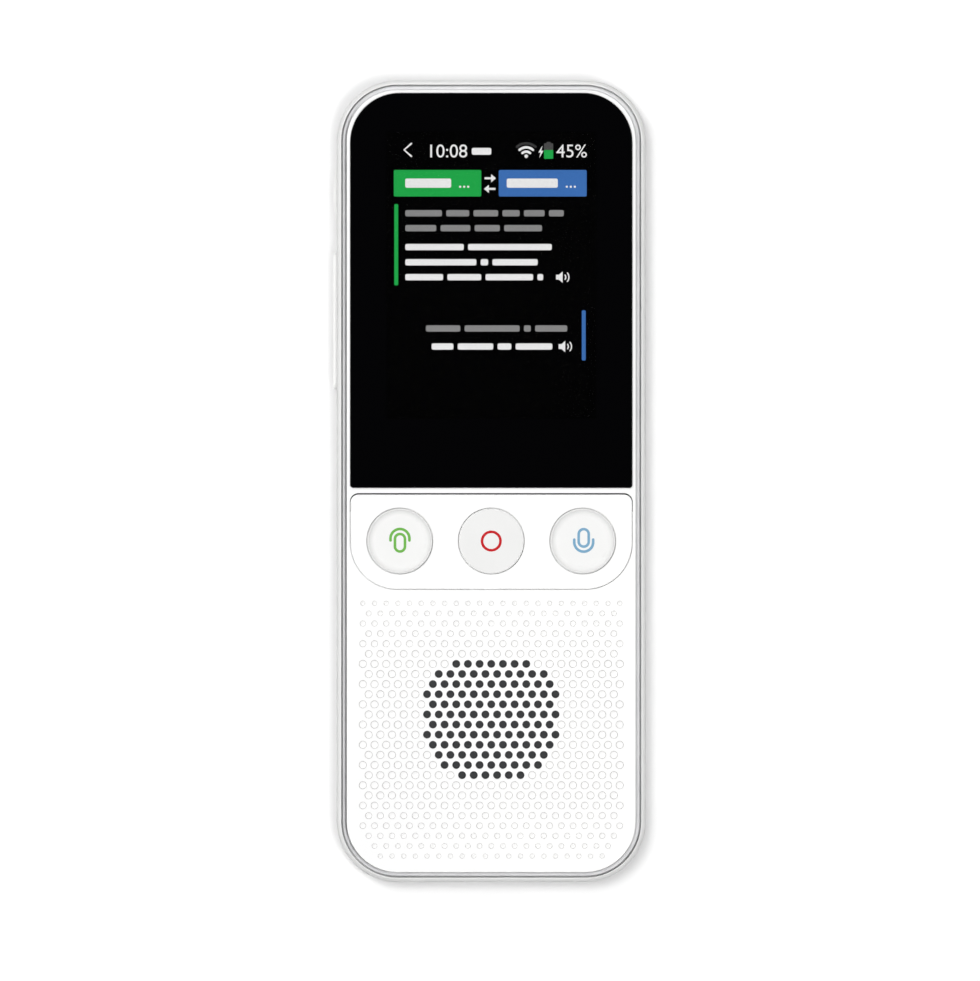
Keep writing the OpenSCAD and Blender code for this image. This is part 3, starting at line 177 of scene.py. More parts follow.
# Far from the body, where the lamps fade, the paper lights itself and meets the backdrop
LAMPS_FADE, LAMPS_END = 0.14, 0.6
PAPER_BOUNCE, PAPER_SEEN = 0.35, 0.99
place = add(tree, "TexCoord", {}, {})
away = add(tree, "VectorMath", {"operation": "LENGTH"}, {0: place.outputs["Object"]})
own_light = add(tree, "MapRange", {"interpolation_type": "SMOOTHSTEP"},
                {"Value": away.outputs["Value"], "From Min": LAMPS_FADE, "From Max": LAMPS_END,
                 "To Min": 0.04, "To Max": 1.0})
lift = add(tree, "Math", {"operation": "MULTIPLY"},
           {0: seen_any.outputs[0], 1: own_light.outputs["Result"]})
tone = add(tree, "MapRange", {}, {"Value": seen_any.outputs[0], "To Min": PAPER_BOUNCE,
                                  "To Max": PAPER_SEEN})
matt = add(tree, "BsdfDiffuse", {}, {"Color": tone.outputs["Result"]})
glow = add(tree, "Emission", {}, {"Color": linear("#ffffff"), "Strength": lift.outputs[0]})
both = add(tree, "AddShader", {}, {0: matt.outputs[0], 1: glow.outputs[0]})
add(tree, "OutputMaterial", {}, {"Surface": both.outputs[0]})
sweep_mesh.materials.append(paper)


# ---------- Rear housing ----------
# The tub that everything is built into, moulded in white ABS with a fine spark-eroded
# texture. Its sloping rim is the outermost light band round the front.
SHADE_FROM, SHADE_TO = 0.32, 0.68      # the noise seldom leaves this range
GRAIN_FROM, GRAIN_TO = 0.3, 0.7


def finish(name, colours, spot_mm, grain_mm, depth_mm, rough, **constants):
    """A material for one real finish. Two shades drift into each other over spots of
    spot_mm, and a grain of grain_mm moves the roughness between two values and dents the
    surface by depth_mm. The constants go on the shader's own sockets."""
    made, tree = blank(name)
    place = add(tree, "TexCoord", {}, {})
    spots = add(tree, "TexNoise", {}, {"Vector": place.outputs["Object"],
                                       "Scale": 1 / (spot_mm * MM), "Detail": 3.0})
    shade = add(tree, "ValToRGB", {}, {"Fac": spots.outputs["Fac"]})
    shade.color_ramp.elements[0].position = SHADE_FROM
    shade.color_ramp.elements[0].color = linear(colours[0])
    shade.color_ramp.elements[1].position = SHADE_TO
    shade.color_ramp.elements[1].color = linear(colours[1])
    grain = add(tree, "TexNoise", {}, {"Vector": place.outputs["Object"],
                                       "Scale": 1 / (grain_mm * MM), "Detail": 2.0})
    roughness = add(tree, "MapRange", {}, {"Value": grain.outputs["Fac"], "From Min": GRAIN_FROM,
                                           "From Max": GRAIN_TO, "To Min": rough[0],
                                           "To Max": rough[1]})
    dents = add(tree, "Bump", {}, {"Height": grain.outputs["Fac"], "Strength": 1.0,
                                   "Distance": depth_mm * MM})
    shader = add(tree, "BsdfPrincipled", {}, {"Base Color": shade.outputs["Color"],
                                              "Roughness": roughness.outputs["Result"],
                                              "Normal": dents.outputs["Normal"], **constants})
    shader.name = "finish"
    add(tree, "OutputMaterial", {}, {"Surface": shader.outputs[0]})
    return made


def wear(material, *node_names):
    """Gives CAD nodes their finish."""
    for name in node_names:
        slots = nodes[name].material_slots
        for slot in slots:
            slot.material = material
        if not slots:
            nodes[name].data.materials.append(material)


# Moulded ABS: even white with a soft satin shine. Its real grain is about 0.05 mm, and it
# is drawn at 0.25 mm so that it shows at all.
white_abs = finish("satin_white_moulded_abs", ("#f6f6f5", "#f9f9f8"),
                   spot_mm=18, grain_mm=0.25, depth_mm=0.002, rough=(0.40, 0.52), IOR=1.53)
wear(white_abs, "rear_housing")

# ---------- Trim frame ----------
# A slim sloping ring of die-cast metal, blasted satin and silver plated, that the front
# housing traps against the seat inside the rim.

# Satin silver plating: a broad soft reflection that follows the studio from light to dark
satin_silver = finish("satin_silver_plating", ("#d5d5d7", "#dededf"),
                      spot_mm=6, grain_mm=0.2, depth_mm=0.0015, rough=(0.28, 0.38), Metallic=1.0)
wear(satin_silver, "trim_frame")


def piece_of(bm, name):
    """Turns a finished bmesh into a piece of the scene."""
    made = bpy.data.meshes.new(name)
    bm.to_mesh(made)
    bm.free()
    piece = bpy.data.objects.new(name, made)
    into_scene(piece)
    return piece


def slab(name, outlines, low, high, holes=False):
    """A flat piece. Each outline is a list of points in millimetres. With holes, outlines
    come in pairs of equal length, outer and inner."""
    bm = bmesh.new()
    rows = [[[bm.verts.new((x * MM, y * MM, z)) for x, y in outline] for z in (low, high)]
            for outline in outlines]
    if holes:
        for outer, inner in zip(rows[::2], rows[1::2]):
            n = len(outer[0])
            for i in range(n):
                j = (i + 1) % n
                bm.faces.new((outer[1][i], outer[1][j], inner[1][j], inner[1][i]))
                bm.faces.new((outer[0][j], outer[0][i], inner[0][i], inner[0][j]))
                bm.faces.new((outer[0][i], outer[0][j], outer[1][j], outer[1][i]))
                bm.faces.new((inner[0][j], inner[0][i], inner[1][i], inner[1][j]))
    else:
        for lower, upper in rows:
            n = len(lower)
            bm.faces.new(upper)
            bm.faces.new(list(reversed(lower)))
            for i in range(n):
                j = (i + 1) % n
                bm.faces.new((lower[i], lower[j], upper[j], upper[i]))
    bmesh.ops.recalc_face_normals(bm, faces=bm.faces)
    bmesh.ops.triangulate(bm, faces=[f for f in bm.faces if len(f.verts) > 4])
    return piece_of(bm, name)


def arc(cx, cy, r, start, end, steps):
    """Points along an arc, by angles in degrees."""
    turns = [math.radians(start + (end - start) * i / steps) for i in range(steps + 1)]
    return [(cx + r * math.cos(turn), cy + r * math.sin(turn)) for turn in turns]


def rounded_box(x0, x1, y0, y1, r, steps=5):
    """Outline of a box with rounded corners."""
    return (arc(x1 - r, y1 - r, r, 0, 90, steps) + arc(x0 + r, y1 - r, r, 90, 180, steps)
            + arc(x0 + r, y0 + r, r, 180, 270, steps) + arc(x1 - r, y0 + r, r, 270, 360, steps))


def show(piece, material, body="body"):
    """Gives a new piece its finish and lets it move with a body of the frame."""
    piece.data.materials.append(material)
    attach(piece, body)


# A grey bead lies on the seat round the outside of the frame, 0.8 mm inside the body's outline,
# at the bottom of the open seam. It is painted shade that makes that seam read dark.
seam_shade_grey = finish("grey_seam_shade_bead", ("#b6b6b7", "#c2c2c3"),
                   spot_mm=3, grain_mm=0.3, depth_mm=0.004, rough=(0.5, 0.65))
BODY_CORNER_R = 10.6
SEAM_OUT, SEAM_IN = 0.82, 1.03         # mm inside the body's outline
BEAD_CLEAR, BEAD_T = 0.002 * MM, 0.06 * MM
half_w, half_l = body_high.x / MM, body_high.y / MM
seam_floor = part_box("trim_frame")[0].z
seam_shade_edges = [rounded_box(inset - half_w, half_w - inset, inset - half_l, half_l - inset,
                          BODY_CORNER_R - inset, 48) for inset in (SEAM_OUT, SEAM_IN)]
seam_shade = slab("seam_shade_bead", seam_shade_edges, seam_floor + BEAD_CLEAR, seam_floor + BEAD_T, holes=True)
show(seam_shade, seam_shade_grey)

# ---------- Front housing ----------
# The white ABS face that snaps into the tub: bezel round the glass, bar over the key
# panel, and the dotted lower face with the loudspeaker's holes drilled through.

# The same moulding as the tub, with a slightly finer polish on the face
face_abs = finish("fine_satin_white_moulded_abs", ("#f8f8f8", "#fbfbfa"),
                  spot_mm=25, grain_mm=0.22, depth_mm=0.001, rough=(0.42, 0.5), IOR=1.53)
# The steep walls of the blind dots, 0.3 mm deep, are painted darker as shade in the recess, which
# draws a faint ring in each dot. It lies only inside the field of dots.
WALL_MIDDLE, WALL_HALF = 0.15 * MM, 0.13 * MM
FIELD_HALF_W, FIELD_MARGIN = 24 * MM, 2 * MM
face_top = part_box("front_housing")[1].z
panel_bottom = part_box("key_panel")[0].y
field_middle = (panel_bottom + body_low.y) / 2
field_half_l = (panel_bottom - body_low.y) / 2 - FIELD_MARGIN
tree = face_abs.node_tree
shader = tree.nodes["finish"]
place = add(tree, "TexCoord", {}, {})
spot = add(tree, "SeparateXYZ", {}, {"Vector": place.outputs["Object"]})
on_wall = add(tree, "Math", {"operation": "COMPARE"},
              {0: spot.outputs["Z"], 1: face_top - WALL_MIDDLE, 2: WALL_HALF})
along = add(tree, "Math", {"operation": "COMPARE"},
            {0: spot.outputs["Y"], 1: field_middle, 2: field_half_l})
across = add(tree, "Math", {"operation": "COMPARE"},
             {0: spot.outputs["X"], 1: 0.0, 2: FIELD_HALF_W})
in_field = add(tree, "Math", {"operation": "MULTIPLY"},
               {0: along.outputs[0], 1: across.outputs[0]})
shaded_dot_wall = add(tree, "Math", {"operation": "MULTIPLY"},
            {0: in_field.outputs[0], 1: on_wall.outputs[0]})
moulded = shader.inputs["Base Color"].links[0].from_socket
# Painted shade: the dot walls take a darker grey
dot_wall_shade = add(tree, "Mix", {"data_type": "RGBA"},
           {"Factor": shaded_dot_wall.outputs[0], 6: moulded, 7: linear("#b0afac")})
tree.links.new(dot_wall_shade.outputs[2], shader.inputs["Base Color"])
wear(face_abs, "front_housing")

# ---------- Loudspeaker ----------
# A round speaker behind the drilled dots, held in a ring under the face, with a foam
# gasket and a woven acoustic mesh that keeps dust out.

# Woven polyester: threads 0.1 mm apart in the real mesh, drawn 0.22 mm apart so that the
# weave shows. Blender's bands repeat every 0.314 m at a scale of 1.
THREAD_PITCH = 0.22 * MM
WEAVE_SCALE = 0.314 / THREAD_PITCH
mesh_weave, tree = blank("black_woven_polyester_mesh")
place = add(tree, "TexCoord", {}, {})
warp, weft = [add(tree, "TexWave",
                  {"wave_type": "BANDS", "bands_direction": direction, "wave_profile": "SIN"},
                  {"Vector": place.outputs["Object"], "Scale": WEAVE_SCALE, "Distortion": 0.0})
              for direction in "XY"]
weave = add(tree, "Math", {"operation": "MAXIMUM"},
            {0: warp.outputs["Fac"], 1: weft.outputs["Fac"]})
thread = add(tree, "ValToRGB", {}, {"Fac": weave.outputs[0]})
thread.color_ramp.elements[0].color = linear("#101112")
thread.color_ramp.elements[1].color = linear("#4a4b4d")
raised = add(tree, "Bump", {}, {"Height": weave.outputs[0], "Strength": 0.6,
                                "Distance": 0.03 * MM})
shader = add(tree, "BsdfPrincipled", {}, {"Base Color": thread.outputs["Color"], "Roughness": 0.75,
                                          "Normal": raised.outputs["Normal"],
                                          "Sheen Weight": 0.15})
add(tree, "OutputMaterial", {}, {"Surface": shader.outputs[0]})
wear(mesh_weave, "speaker_mesh")

# Closed-cell foam: matt black with small open pores along its cut edges
black_foam = finish("black_closed_cell_foam", ("#141415", "#1f2021"),
                    spot_mm=2, grain_mm=0.3, depth_mm=0.04, rough=(0.85, 0.98))
# Rolled steel sheet: bright grey with a faint streaky shine from the rolls
rolled_steel = finish("bright_rolled_steel", ("#b4b7ba", "#c3c5c7"),
                      spot_mm=5, grain_mm=0.15, depth_mm=0.001, rough=(0.24, 0.36), Metallic=1.0)
# Polymer film pressed into a cone: smooth, dark, slightly shiny
cone_film = finish("black_pressed_polymer_film", ("#151517", "#1d1d20"),
                   spot_mm=4, grain_mm=0.4, depth_mm=0.002, rough=(0.4, 0.55))
# Nickel-plated magnet and cup: dark grey metal with a soft shine
magnet_plating = finish("dark_nickel_plating", ("#75777a", "#808285"),
                        spot_mm=4, grain_mm=0.2, depth_mm=0.001, rough=(0.28, 0.38), Metallic=1.0)
# Drawn PVC sleeve on a thin lead: smooth and slightly glossy
wire_sleeve = finish("black_pvc_wire_sleeve", ("#121213", "#1a1a1b"),
                     spot_mm=3, grain_mm=0.5, depth_mm=0.002, rough=(0.4, 0.5))
wear(black_foam, "speaker_gasket")
wear(rolled_steel, "speaker_frame")
wear(cone_film, "speaker_cone")
wear(magnet_plating, "speaker_magnet")
wear(wire_sleeve, "speaker_leads")

# ---------- Cover glass ----------
# Hardened glass with a polished edge. Black ink is printed on its underside everywhere
# but over the picture, and an adhesive frame seats it in its recess.
PICTURE_W, PICTURE_L = 36.5 * MM, 50 * MM
PICTURE_DROP = 6.77 * MM               # below the glass's top edge
picture_y = glass_high.y - PICTURE_DROP - PICTURE_L / 2
cover, tree = blank("polished_glass_over_black_print")
place = add(tree, "TexCoord", {}, {})
spot = add(tree, "SeparateXYZ", {}, {"Vector": place.outputs["Object"]})
from_x = add(tree, "Math", {"operation": "ABSOLUTE"}, {0: spot.outputs["X"]})
in_x = add(tree, "Math", {"operation": "LESS_THAN"}, {0: from_x.outputs[0], 1: PICTURE_W / 2})
from_y = add(tree, "Math", {"operation": "SUBTRACT"}, {0: spot.outputs["Y"], 1: picture_y})
from_y = add(tree, "Math", {"operation": "ABSOLUTE"}, {0: from_y.outputs[0]})
in_y = add(tree, "Math", {"operation": "LESS_THAN"}, {0: from_y.outputs[0], 1: PICTURE_L / 2})
clear_here = add(tree, "Math", {"operation": "MULTIPLY"},
                 {0: in_x.outputs[0], 1: in_y.outputs[0]})
# Polished glass: a clean mirror, with faint handling marks that show only in the gloss
HANDLING_MARK = 7 * MM
marks = add(tree, "TexNoise", {}, {"Vector": place.outputs["Object"],
                                   "Scale": 1 / HANDLING_MARK, "Detail": 4.0})
polish = add(tree, "MapRange", {}, {"Value": marks.outputs["Fac"], "From Min": 0.35,
                                    "From Max": 0.75, "To Min": 0.0, "To Max": 0.03})
ink_or_clear = add(tree, "ValToRGB", {}, {"Fac": clear_here.outputs[0]})
ink_or_clear.color_ramp.interpolation = "CONSTANT"
ink_or_clear.color_ramp.elements[0].color = linear("#030304")
ink_or_clear.color_ramp.elements[1].position = 0.5
ink_or_clear.color_ramp.elements[1].color = linear("#ffffff")
shader = add(tree, "BsdfPrincipled", {}, {"Base Color": ink_or_clear.outputs["Color"], "IOR": 1.5,
                                          "Transmission Weight": clear_here.outputs[0],
                                          "Roughness": polish.outputs["Result"]})
add(tree, "OutputMaterial", {}, {"Surface": shader.outputs[0]})
wear(cover, "cover_glass")

# Acrylic foam tape between glass and housing
wear(black_foam, "glass_adhesive")

# ---------- Display ----------
# A 2.4 inch liquid crystal cell in its steel backlight tray, with the clear touch film
# laminated over it and a ribbon from each film down to the main board.

# Conductive film: water clear, with a faint warm tint where the coating is thicker
touch_film = finish("clear_conductive_film", ("#0b0a07", "#100f0c"),
                    spot_mm=20, grain_mm=1.0, depth_mm=0.0, rough=(0.02, 0.04), Alpha=0.05)
# Switched-off crystal: nearly black, smooth
dark_cell = finish("dark_liquid_crystal", ("#020202", "#040404"),
                   spot_mm=12, grain_mm=0.6, depth_mm=0.0, rough=(0.04, 0.08))
# Polyimide: amber film with copper under it
polyimide = finish("amber_polyimide_film", ("#a5641f", "#b97a30"),
                   spot_mm=3, grain_mm=0.4, depth_mm=0.003, rough=(0.28, 0.4))
wear(touch_film, "touch_sensor")
wear(dark_cell, "display_cell")
wear(rolled_steel, "backlight_tray")
wear(polyimide, "touch_ribbon", "display_ribbon")

# ---------- Picture on the display ----------
# The lit page: a status line, two language buttons with a swap sign, and two blocks of
# conversation. Words are bars of their length, and the clock and charge are plain numbers.
PICTURE_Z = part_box("display_cell")[1].z   # lies on the cell, under the touch film
PICTURE_T = 0.03 * MM
layer = [PICTURE_Z, PICTURE_Z + PICTURE_T]
over = [PICTURE_Z + PICTURE_T, PICTURE_Z + 1.4 * PICTURE_T]    # on the buttons


def capsule(cx, cy, w, h):
    """Outline of an upright bar with half-round ends."""
    return (arc(cx, cy + (h - w) / 2, w / 2, 0, 180, 16)
            + arc(cx, cy - (h - w) / 2, w / 2, 180, 360, 16))


def stroke(points, width):
    """Outline of a pen stroke along the points, with round ends."""
    left, right = [], []
    n = len(points)
    for i, (x, y) in enumerate(points):
        ax, ay = points[max(i - 1, 0)]
        bx, by = points[min(i + 1, n - 1)]
        d = math.hypot(bx - ax, by - ay)
        nx, ny = -(by - ay) / d, (bx - ax) / d
        left.append((x + nx * width / 2, y + ny * width / 2))
        right.append((x - nx * width / 2, y - ny * width / 2))

    def cap(at, other):
        """The round end at a point, turned away from the other point."""
        angle = math.degrees(math.atan2(at[1] - other[1], at[0] - other[0]))
        return arc(at[0], at[1], width / 2, angle - 90, angle + 90, 6)[1:-1]

    return (left + cap(points[-1], points[-2])[::-1] + right[::-1]
            + cap(points[0], points[1])[::-1])


PICTURE_GLOW = 1.08    # makes up for what the glass and film take


def lit(name, hexcode):
    """Light of one colour through the crystal, a little uneven over some 12 mm as
    backlights are."""
    made, tree = blank(name)
    place = add(tree, "TexCoord", {}, {})
    clouds = add(tree, "TexNoise", {}, {"Vector": place.outputs["Object"],
                                        "Scale": 1 / (12 * MM), "Detail": 1.0})
    shade = add(tree, "ValToRGB", {}, {"Fac": clouds.outputs["Fac"]})
    full = linear(hexcode)
    shade.color_ramp.elements[0].position = 0.2
    shade.color_ramp.elements[0].color = [c * 0.93 for c in full[:3]] + [1.0]
    shade.color_ramp.elements[1].position = 0.8
    shade.color_ramp.elements[1].color = full
    shader = add(tree, "BsdfPrincipled", {}, {"Base Color": linear("#020202"), "Roughness": 0.08,
                                              "Emission Color": shade.outputs["Color"],
                                              "Emission Strength": PICTURE_GLOW})
    add(tree, "OutputMaterial", {}, {"Surface": shader.outputs[0]})
    return made


lit_white = lit("lit_white_pixels", "#f2f2f2")
lit_grey = lit("lit_grey_pixels", "#8c8c8c")
lit_dim = lit("lit_dim_pixels", "#3a3a3a")
lit_faint = lit("lit_faint_pixels", "#4c4c4c")
lit_green = lit("lit_green_pixels", "#23aa4c")
lit_blue = lit("lit_blue_pixels", "#4072b8")

# Status line: back sign, clock, wireless fan, charging bolt, battery and charge. All its
# places are in millimetres to the right of the body's middle and above it.
back_sign = stroke([(-13.95, 58.87), (-15.2, 57.77), (-13.95, 56.67)], 0.3)
show(slab("picture_back_sign", [back_sign], *layer), lit_white)
FAN_X, FAN_Y, FAN_PEN = 6.1, 56.47, 0.42
fan_inner, fan_middle, fan_outer = [stroke(arc(FAN_X, FAN_Y, r, 48, 132, 10), FAN_PEN)
                                    for r in (1.0, 1.75, 2.45)]
fan_dot = arc(FAN_X, FAN_Y + 0.2, 0.32, 0, 342, 14)
show(slab("picture_wireless_fan", [fan_inner, fan_middle, fan_dot], *layer), lit_white)
show(slab("picture_wireless_fan_idle", [fan_outer], *layer), lit_dim)
bolt = [(8.95, 58.52), (8.2, 57.32), (8.62, 57.32), (8.38, 56.32), (9.1, 57.62), (8.7, 57.62)]
show(slab("picture_charging_bolt", [bolt], *layer), lit_white)
battery_case = [rounded_box(9.2, 10.8, 57.77, 58.92, 0.08),
                rounded_box(9.65, 10.35, 58.92, 59.17, 0.05)]
show(slab("picture_battery_case", battery_case, *layer), lit_faint)
battery_charge = rounded_box(9.2, 10.8, 56.22, 57.75, 0.08)
show(slab("picture_battery_charge", [battery_charge], *layer), lit_green)

NUMBER_SIZE, NUMBER_BASE = 3.25, 56.47


def numbers(name, text, left):
    """Plain digits in Blender's own typeface."""
    line = bpy.data.curves.new(name, "FONT")
    line.body = text
    line.size = NUMBER_SIZE * MM
    line.extrude = PICTURE_T / 2
    piece = bpy.data.objects.new(name, line)
    piece.location = (left * MM, NUMBER_BASE * MM, PICTURE_Z + PICTURE_T / 2)
    into_scene(piece)
    return piece


show(numbers("picture_clock", "10:08", -11.3), lit_white)
show(numbers("picture_charge", "45%", 11.3), lit_white)
BAR_CORNER_R = 0.3
clock_half = rounded_box(-3.4, 0.0, 56.92, 58.12, BAR_CORNER_R)
show(slab("picture_clock_half", [clock_half], *layer), lit_white)

# Language buttons with a bar and three dots each, and the two arrows between them
BUTTON_LOW, BUTTON_HIGH, WORD_LOW, WORD_HIGH, DOT_SIDE = 49.64, 54.27, 51.17, 52.77, 0.35
left_button = rounded_box(-17.0, -1.75, BUTTON_LOW, BUTTON_HIGH, 0.25)
right_button = rounded_box(1.31, 16.64, BUTTON_LOW, BUTTON_HIGH, 0.25)
show(slab("picture_left_button", [left_button], *layer), lit_green)
show(slab("picture_right_button", [right_button], *layer), lit_blue)
button_words = []
for word_left, word_right, dots in ((-15.0, -7.0, (-5.6, -4.9, -4.2)),
                                    (2.7, 11.6, (13.0, 13.7, 14.4))):
    button_words.append(rounded_box(word_left, word_right, WORD_LOW, WORD_HIGH, BAR_CORNER_R))
    button_words += [rounded_box(x, x + DOT_SIDE, WORD_LOW, WORD_LOW + DOT_SIDE, 0.1)
                     for x in dots]
show(slab("picture_button_words", button_words, *over), lit_white)
ARROW_X, ARROW_REACH, HEAD_L, HEAD_HALF, SHAFT_HALF = -0.22, 1.05, 0.85, 0.72, 0.18
swap = []
for way, y in ((1, 52.82), (-1, 50.97)):
    tip = ARROW_X + way * ARROW_REACH
    tail, neck = tip - way * 2.0, tip - way * HEAD_L
    swap.append([(tail, y - way * SHAFT_HALF), (neck, y - way * SHAFT_HALF),
                 (neck, y - way * HEAD_HALF), (tip, y), (neck, y + way * HEAD_HALF),
                 (neck, y + way * SHAFT_HALF), (tail, y + way * SHAFT_HALF)])
show(slab("picture_swap_arrows", swap, *layer), lit_white)

# Conversation: each line is a row of bars as long as its words
SPEECH_H, WORD_GAP, LINE_LEFT = 1.1, 0.75, -15.0


def words(left, y, lengths):
    """A line of words as bars of these lengths, with a space between."""
    bars = []
    for length in lengths:
        bars.append(rounded_box(left, left + length, y - SPEECH_H / 2, y + SPEECH_H / 2,
                                BAR_CORNER_R))
        left += length + WORD_GAP
    return bars


def speech_mark(x, y):
    """A small loudspeaker with two waves."""
    box_and_horn = [(x, y - 0.42), (x + 0.5, y - 0.42), (x + 1.15, y - 1.0), (x + 1.15, y + 1.0),
                    (x + 0.5, y + 0.42), (x, y + 0.42)]
    return [box_and_horn, stroke(arc(x + 1.1, y, 0.6, -40, 40, 8), 0.2),
            stroke(arc(x + 1.1, y, 1.15, -40, 40, 8), 0.2)]


heard = (words(LINE_LEFT, 46.72, [6.4, 4.0, 4.3, 3.0, 3.6, 2.6])
         + words(LINE_LEFT, 44.12, [5.4, 5.2, 4.4, 6.6])
         + words(-11.4, 26.62, [6.0, 9.6, 1.2, 5.6]))
spoken = (words(LINE_LEFT, 40.82, [10.2, 14.6])
          + words(LINE_LEFT, 38.17, [12.4, 1.3, 7.9])
          + words(LINE_LEFT, 35.57, [6.6, 5.9, 8.3, 1.0])
          + words(-10.4, 23.47, [3.8, 6.2, 2.4, 6.4]))
speech_marks = speech_mark(11.3, 35.57) + speech_mark(11.75, 23.47)
left_rule = rounded_box(-16.92, -16.23, 34.15, 48.32, 0.2)
right_rule = rounded_box(15.79, 16.47, 21.04, 29.78, 0.2)
show(slab("picture_heard_words", heard, *layer), lit_grey)
show(slab("picture_spoken_words", spoken, *layer), lit_white)
show(slab("picture_speech_marks", speech_marks, *layer), lit_white)
show(slab("picture_left_rule", [left_rule], *layer), lit_green)
show(slab("picture_right_rule", [right_rule], *layer), lit_blue)

# ---------- Key panel ----------
# A thin white plate held in its recess by black tape. The tape's head stands in the wide gap above
# the plate as painted shade, a dark line in that gap. The three keys come through both.

# The same ABS, polished a little more, so it reads as a separate piece
panel_abs = finish("polished_white_moulded_abs", ("#f8f8f8", "#fbfbfa"),
                   spot_mm=25, grain_mm=0.2, depth_mm=0.0008, rough=(0.34, 0.42), IOR=1.53)
wear(panel_abs, "key_panel")
wear(black_foam, "panel_tape")

# ---------- Face keys ----------
# Moulded keys with a flange under the panel. The outer two are dished for the thumb, the
# middle one is flat, and each carries its mark in pad-printed ink.

# Key plastic: a little greyer than the panel, with a soft shine. The middle key is a
# shade darker than the outer two.
key_white = finish("soft_white_key_plastic", ("#efefee", "#f1f1f0"),
                   spot_mm=6, grain_mm=0.2, depth_mm=0.0008, rough=(0.38, 0.46), IOR=1.5)
record_white = finish("pale_grey_key_plastic", ("#eaeae9", "#ececeb"),
                      spot_mm=6, grain_mm=0.2, depth_mm=0.0008, rough=(0.38, 0.46), IOR=1.5)
KEY_PITCH, KEY_Y, KEY_DISH = 15.95, -10.45, 0.4     # mm

# The slope round each dish is painted a little greyer, as painted shade on the slope
SLOPE_FROM, SLOPE_TO = 4.3 * MM, 5.67 * MM
tree = key_white.node_tree
shader = tree.nodes["finish"]
place = add(tree, "TexCoord", {}, {})
spot = add(tree, "SeparateXYZ", {}, {"Vector": place.outputs["Object"]})
side_x = add(tree, "Math", {"operation": "ABSOLUTE"}, {0: spot.outputs["X"]})
from_key = add(tree, "CombineXYZ", {}, {"X": side_x.outputs[0], "Y": spot.outputs["Y"], "Z": 0.0})
radius = add(tree, "VectorMath", {"operation": "DISTANCE"},
             {0: from_key.outputs["Vector"], 1: (KEY_PITCH * MM, KEY_Y * MM, 0.0)})
on_slope = add(tree, "MapRange", {"interpolation_type": "SMOOTHSTEP"},
               {"Value": radius.outputs["Value"], "From Min": SLOPE_FROM, "From Max": SLOPE_TO})
inside = add(tree, "Math", {"operation": "LESS_THAN"}, {0: radius.outputs["Value"], 1: SLOPE_TO})
slope_only = add(tree, "Math", {"operation": "MULTIPLY"},
                 {0: on_slope.outputs["Result"], 1: inside.outputs[0]})
moulded = shader.inputs["Base Color"].links[0].from_socket
dish_slope_shade = add(tree, "Mix", {"data_type": "RGBA"},
                 {"Factor": slope_only.outputs[0], 6: moulded, 7: linear("#e3e3e2")})
tree.links.new(dish_slope_shade.outputs[2], shader.inputs["Base Color"])
wear(key_white, "left_key", "right_key")
wear(record_white, "record_key")

INK_W, INK_T = 0.46, 0.03              # mm, a line of the marks and the film
INK_BITE = 0.4                         # the share of the film that soaks into the key


def key_mark(name, node, outlines, holes, ink, sunk=KEY_DISH):
    """A film of ink on a key: on the flat floor of its dish, or on its flat top."""
    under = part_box(node)[1].z - (sunk + INK_BITE * INK_T) * MM
    piece = slab(name, outlines, under, under + INK_T * MM, holes)
    show(piece, ink, node + "_body")


# Pad-printed ink: a thin even film, slightly shinier than the key
green_ink = finish("green_pad_printed_ink", ("#6db04c", "#72b551"),
                   spot_mm=1.5, grain_mm=0.15, depth_mm=0.001, rough=(0.35, 0.45))
red_ink = finish("red_pad_printed_ink", ("#c11c22", "#c72127"),
                 spot_mm=1.5, grain_mm=0.15, depth_mm=0.001, rough=(0.35, 0.45))
blue_ink = finish("blue_pad_printed_ink", ("#76a3c1", "#7ca9c7"),
                  spot_mm=1.5, grain_mm=0.15, depth_mm=0.001, rough=(0.35, 0.45))
CAPSULE_W, CAPSULE_L, BOW_R = 1.75, 3.05, 1.65     # along the middle of the line
RECORD_R = 1.61


def capsule_ring(x, y):
    """The outer and the inner edge of the capsule on an outer key."""
    return [capsule(x, y, CAPSULE_W + pen, CAPSULE_L + pen) for pen in (INK_W, -INK_W)]


def bow(x, y, leg, start):
    """A half circle with two straight legs: round x, y, and starting at an angle."""
    half = arc(x, y, BOW_R, start, start + 180, 20)
    end = y - leg if start == 0 else y + leg
    return stroke([(half[0][0], end)] + half + [(half[-1][0], end)], INK_W)


left_x, right_x = -KEY_PITCH + 0.03, KEY_PITCH + 0.17
record_ring = [arc(0, KEY_Y, RECORD_R + pen / 2, 0, 352.5, 47) for pen in (INK_W, -INK_W)]
key_mark("left_key_mark_capsule", "left_key", capsule_ring(left_x, -10.75), True, green_ink)
key_mark("left_key_mark_arch", "left_key", [bow(left_x, -10.0, 0.35, 0)], False, green_ink)
key_mark("record_key_mark", "record_key", record_ring, True, red_ink, sunk=0.0)
key_mark("right_key_mark_capsule", "right_key", capsule_ring(right_x, -9.9), True, blue_ink)
key_mark("right_key_mark_cradle", "right_key", [bow(right_x, -10.65, 0.45, 180)], False, blue_ink)

# ---------- Key mat and snap domes ----------
# One silicone mat carries a pad under each key, and under each pad lies a snap dome of
# spring steel on the main board. The side keys have smaller domes on their flex.

# Silicone: matt, slightly milky grey
silicone = finish("matt_grey_silicone", ("#85898c", "#909497"),
                  spot_mm=5, grain_mm=0.3, depth_mm=0.004, rough=(0.6, 0.75))
# Spring steel: brighter and smoother than the tray, from its cold rolling
spring_steel = finish("cold_rolled_spring_steel", ("#c6c8ca", "#d2d3d5"),
                      spot_mm=2, grain_mm=0.1, depth_mm=0.0006, rough=(0.16, 0.24), Metallic=1.0)
wear(spring_steel, "left_dome", "record_dome", "right_dome")

# The mat and the side keys' domes give way under a key. A CAD node can't, so new pieces of the
# same shape stand for them. The mat has one per key.
WELD = 0.001 * MM                      # points closer than this are one
CREASE = math.radians(30)              # a sharper edge than this stays sharp


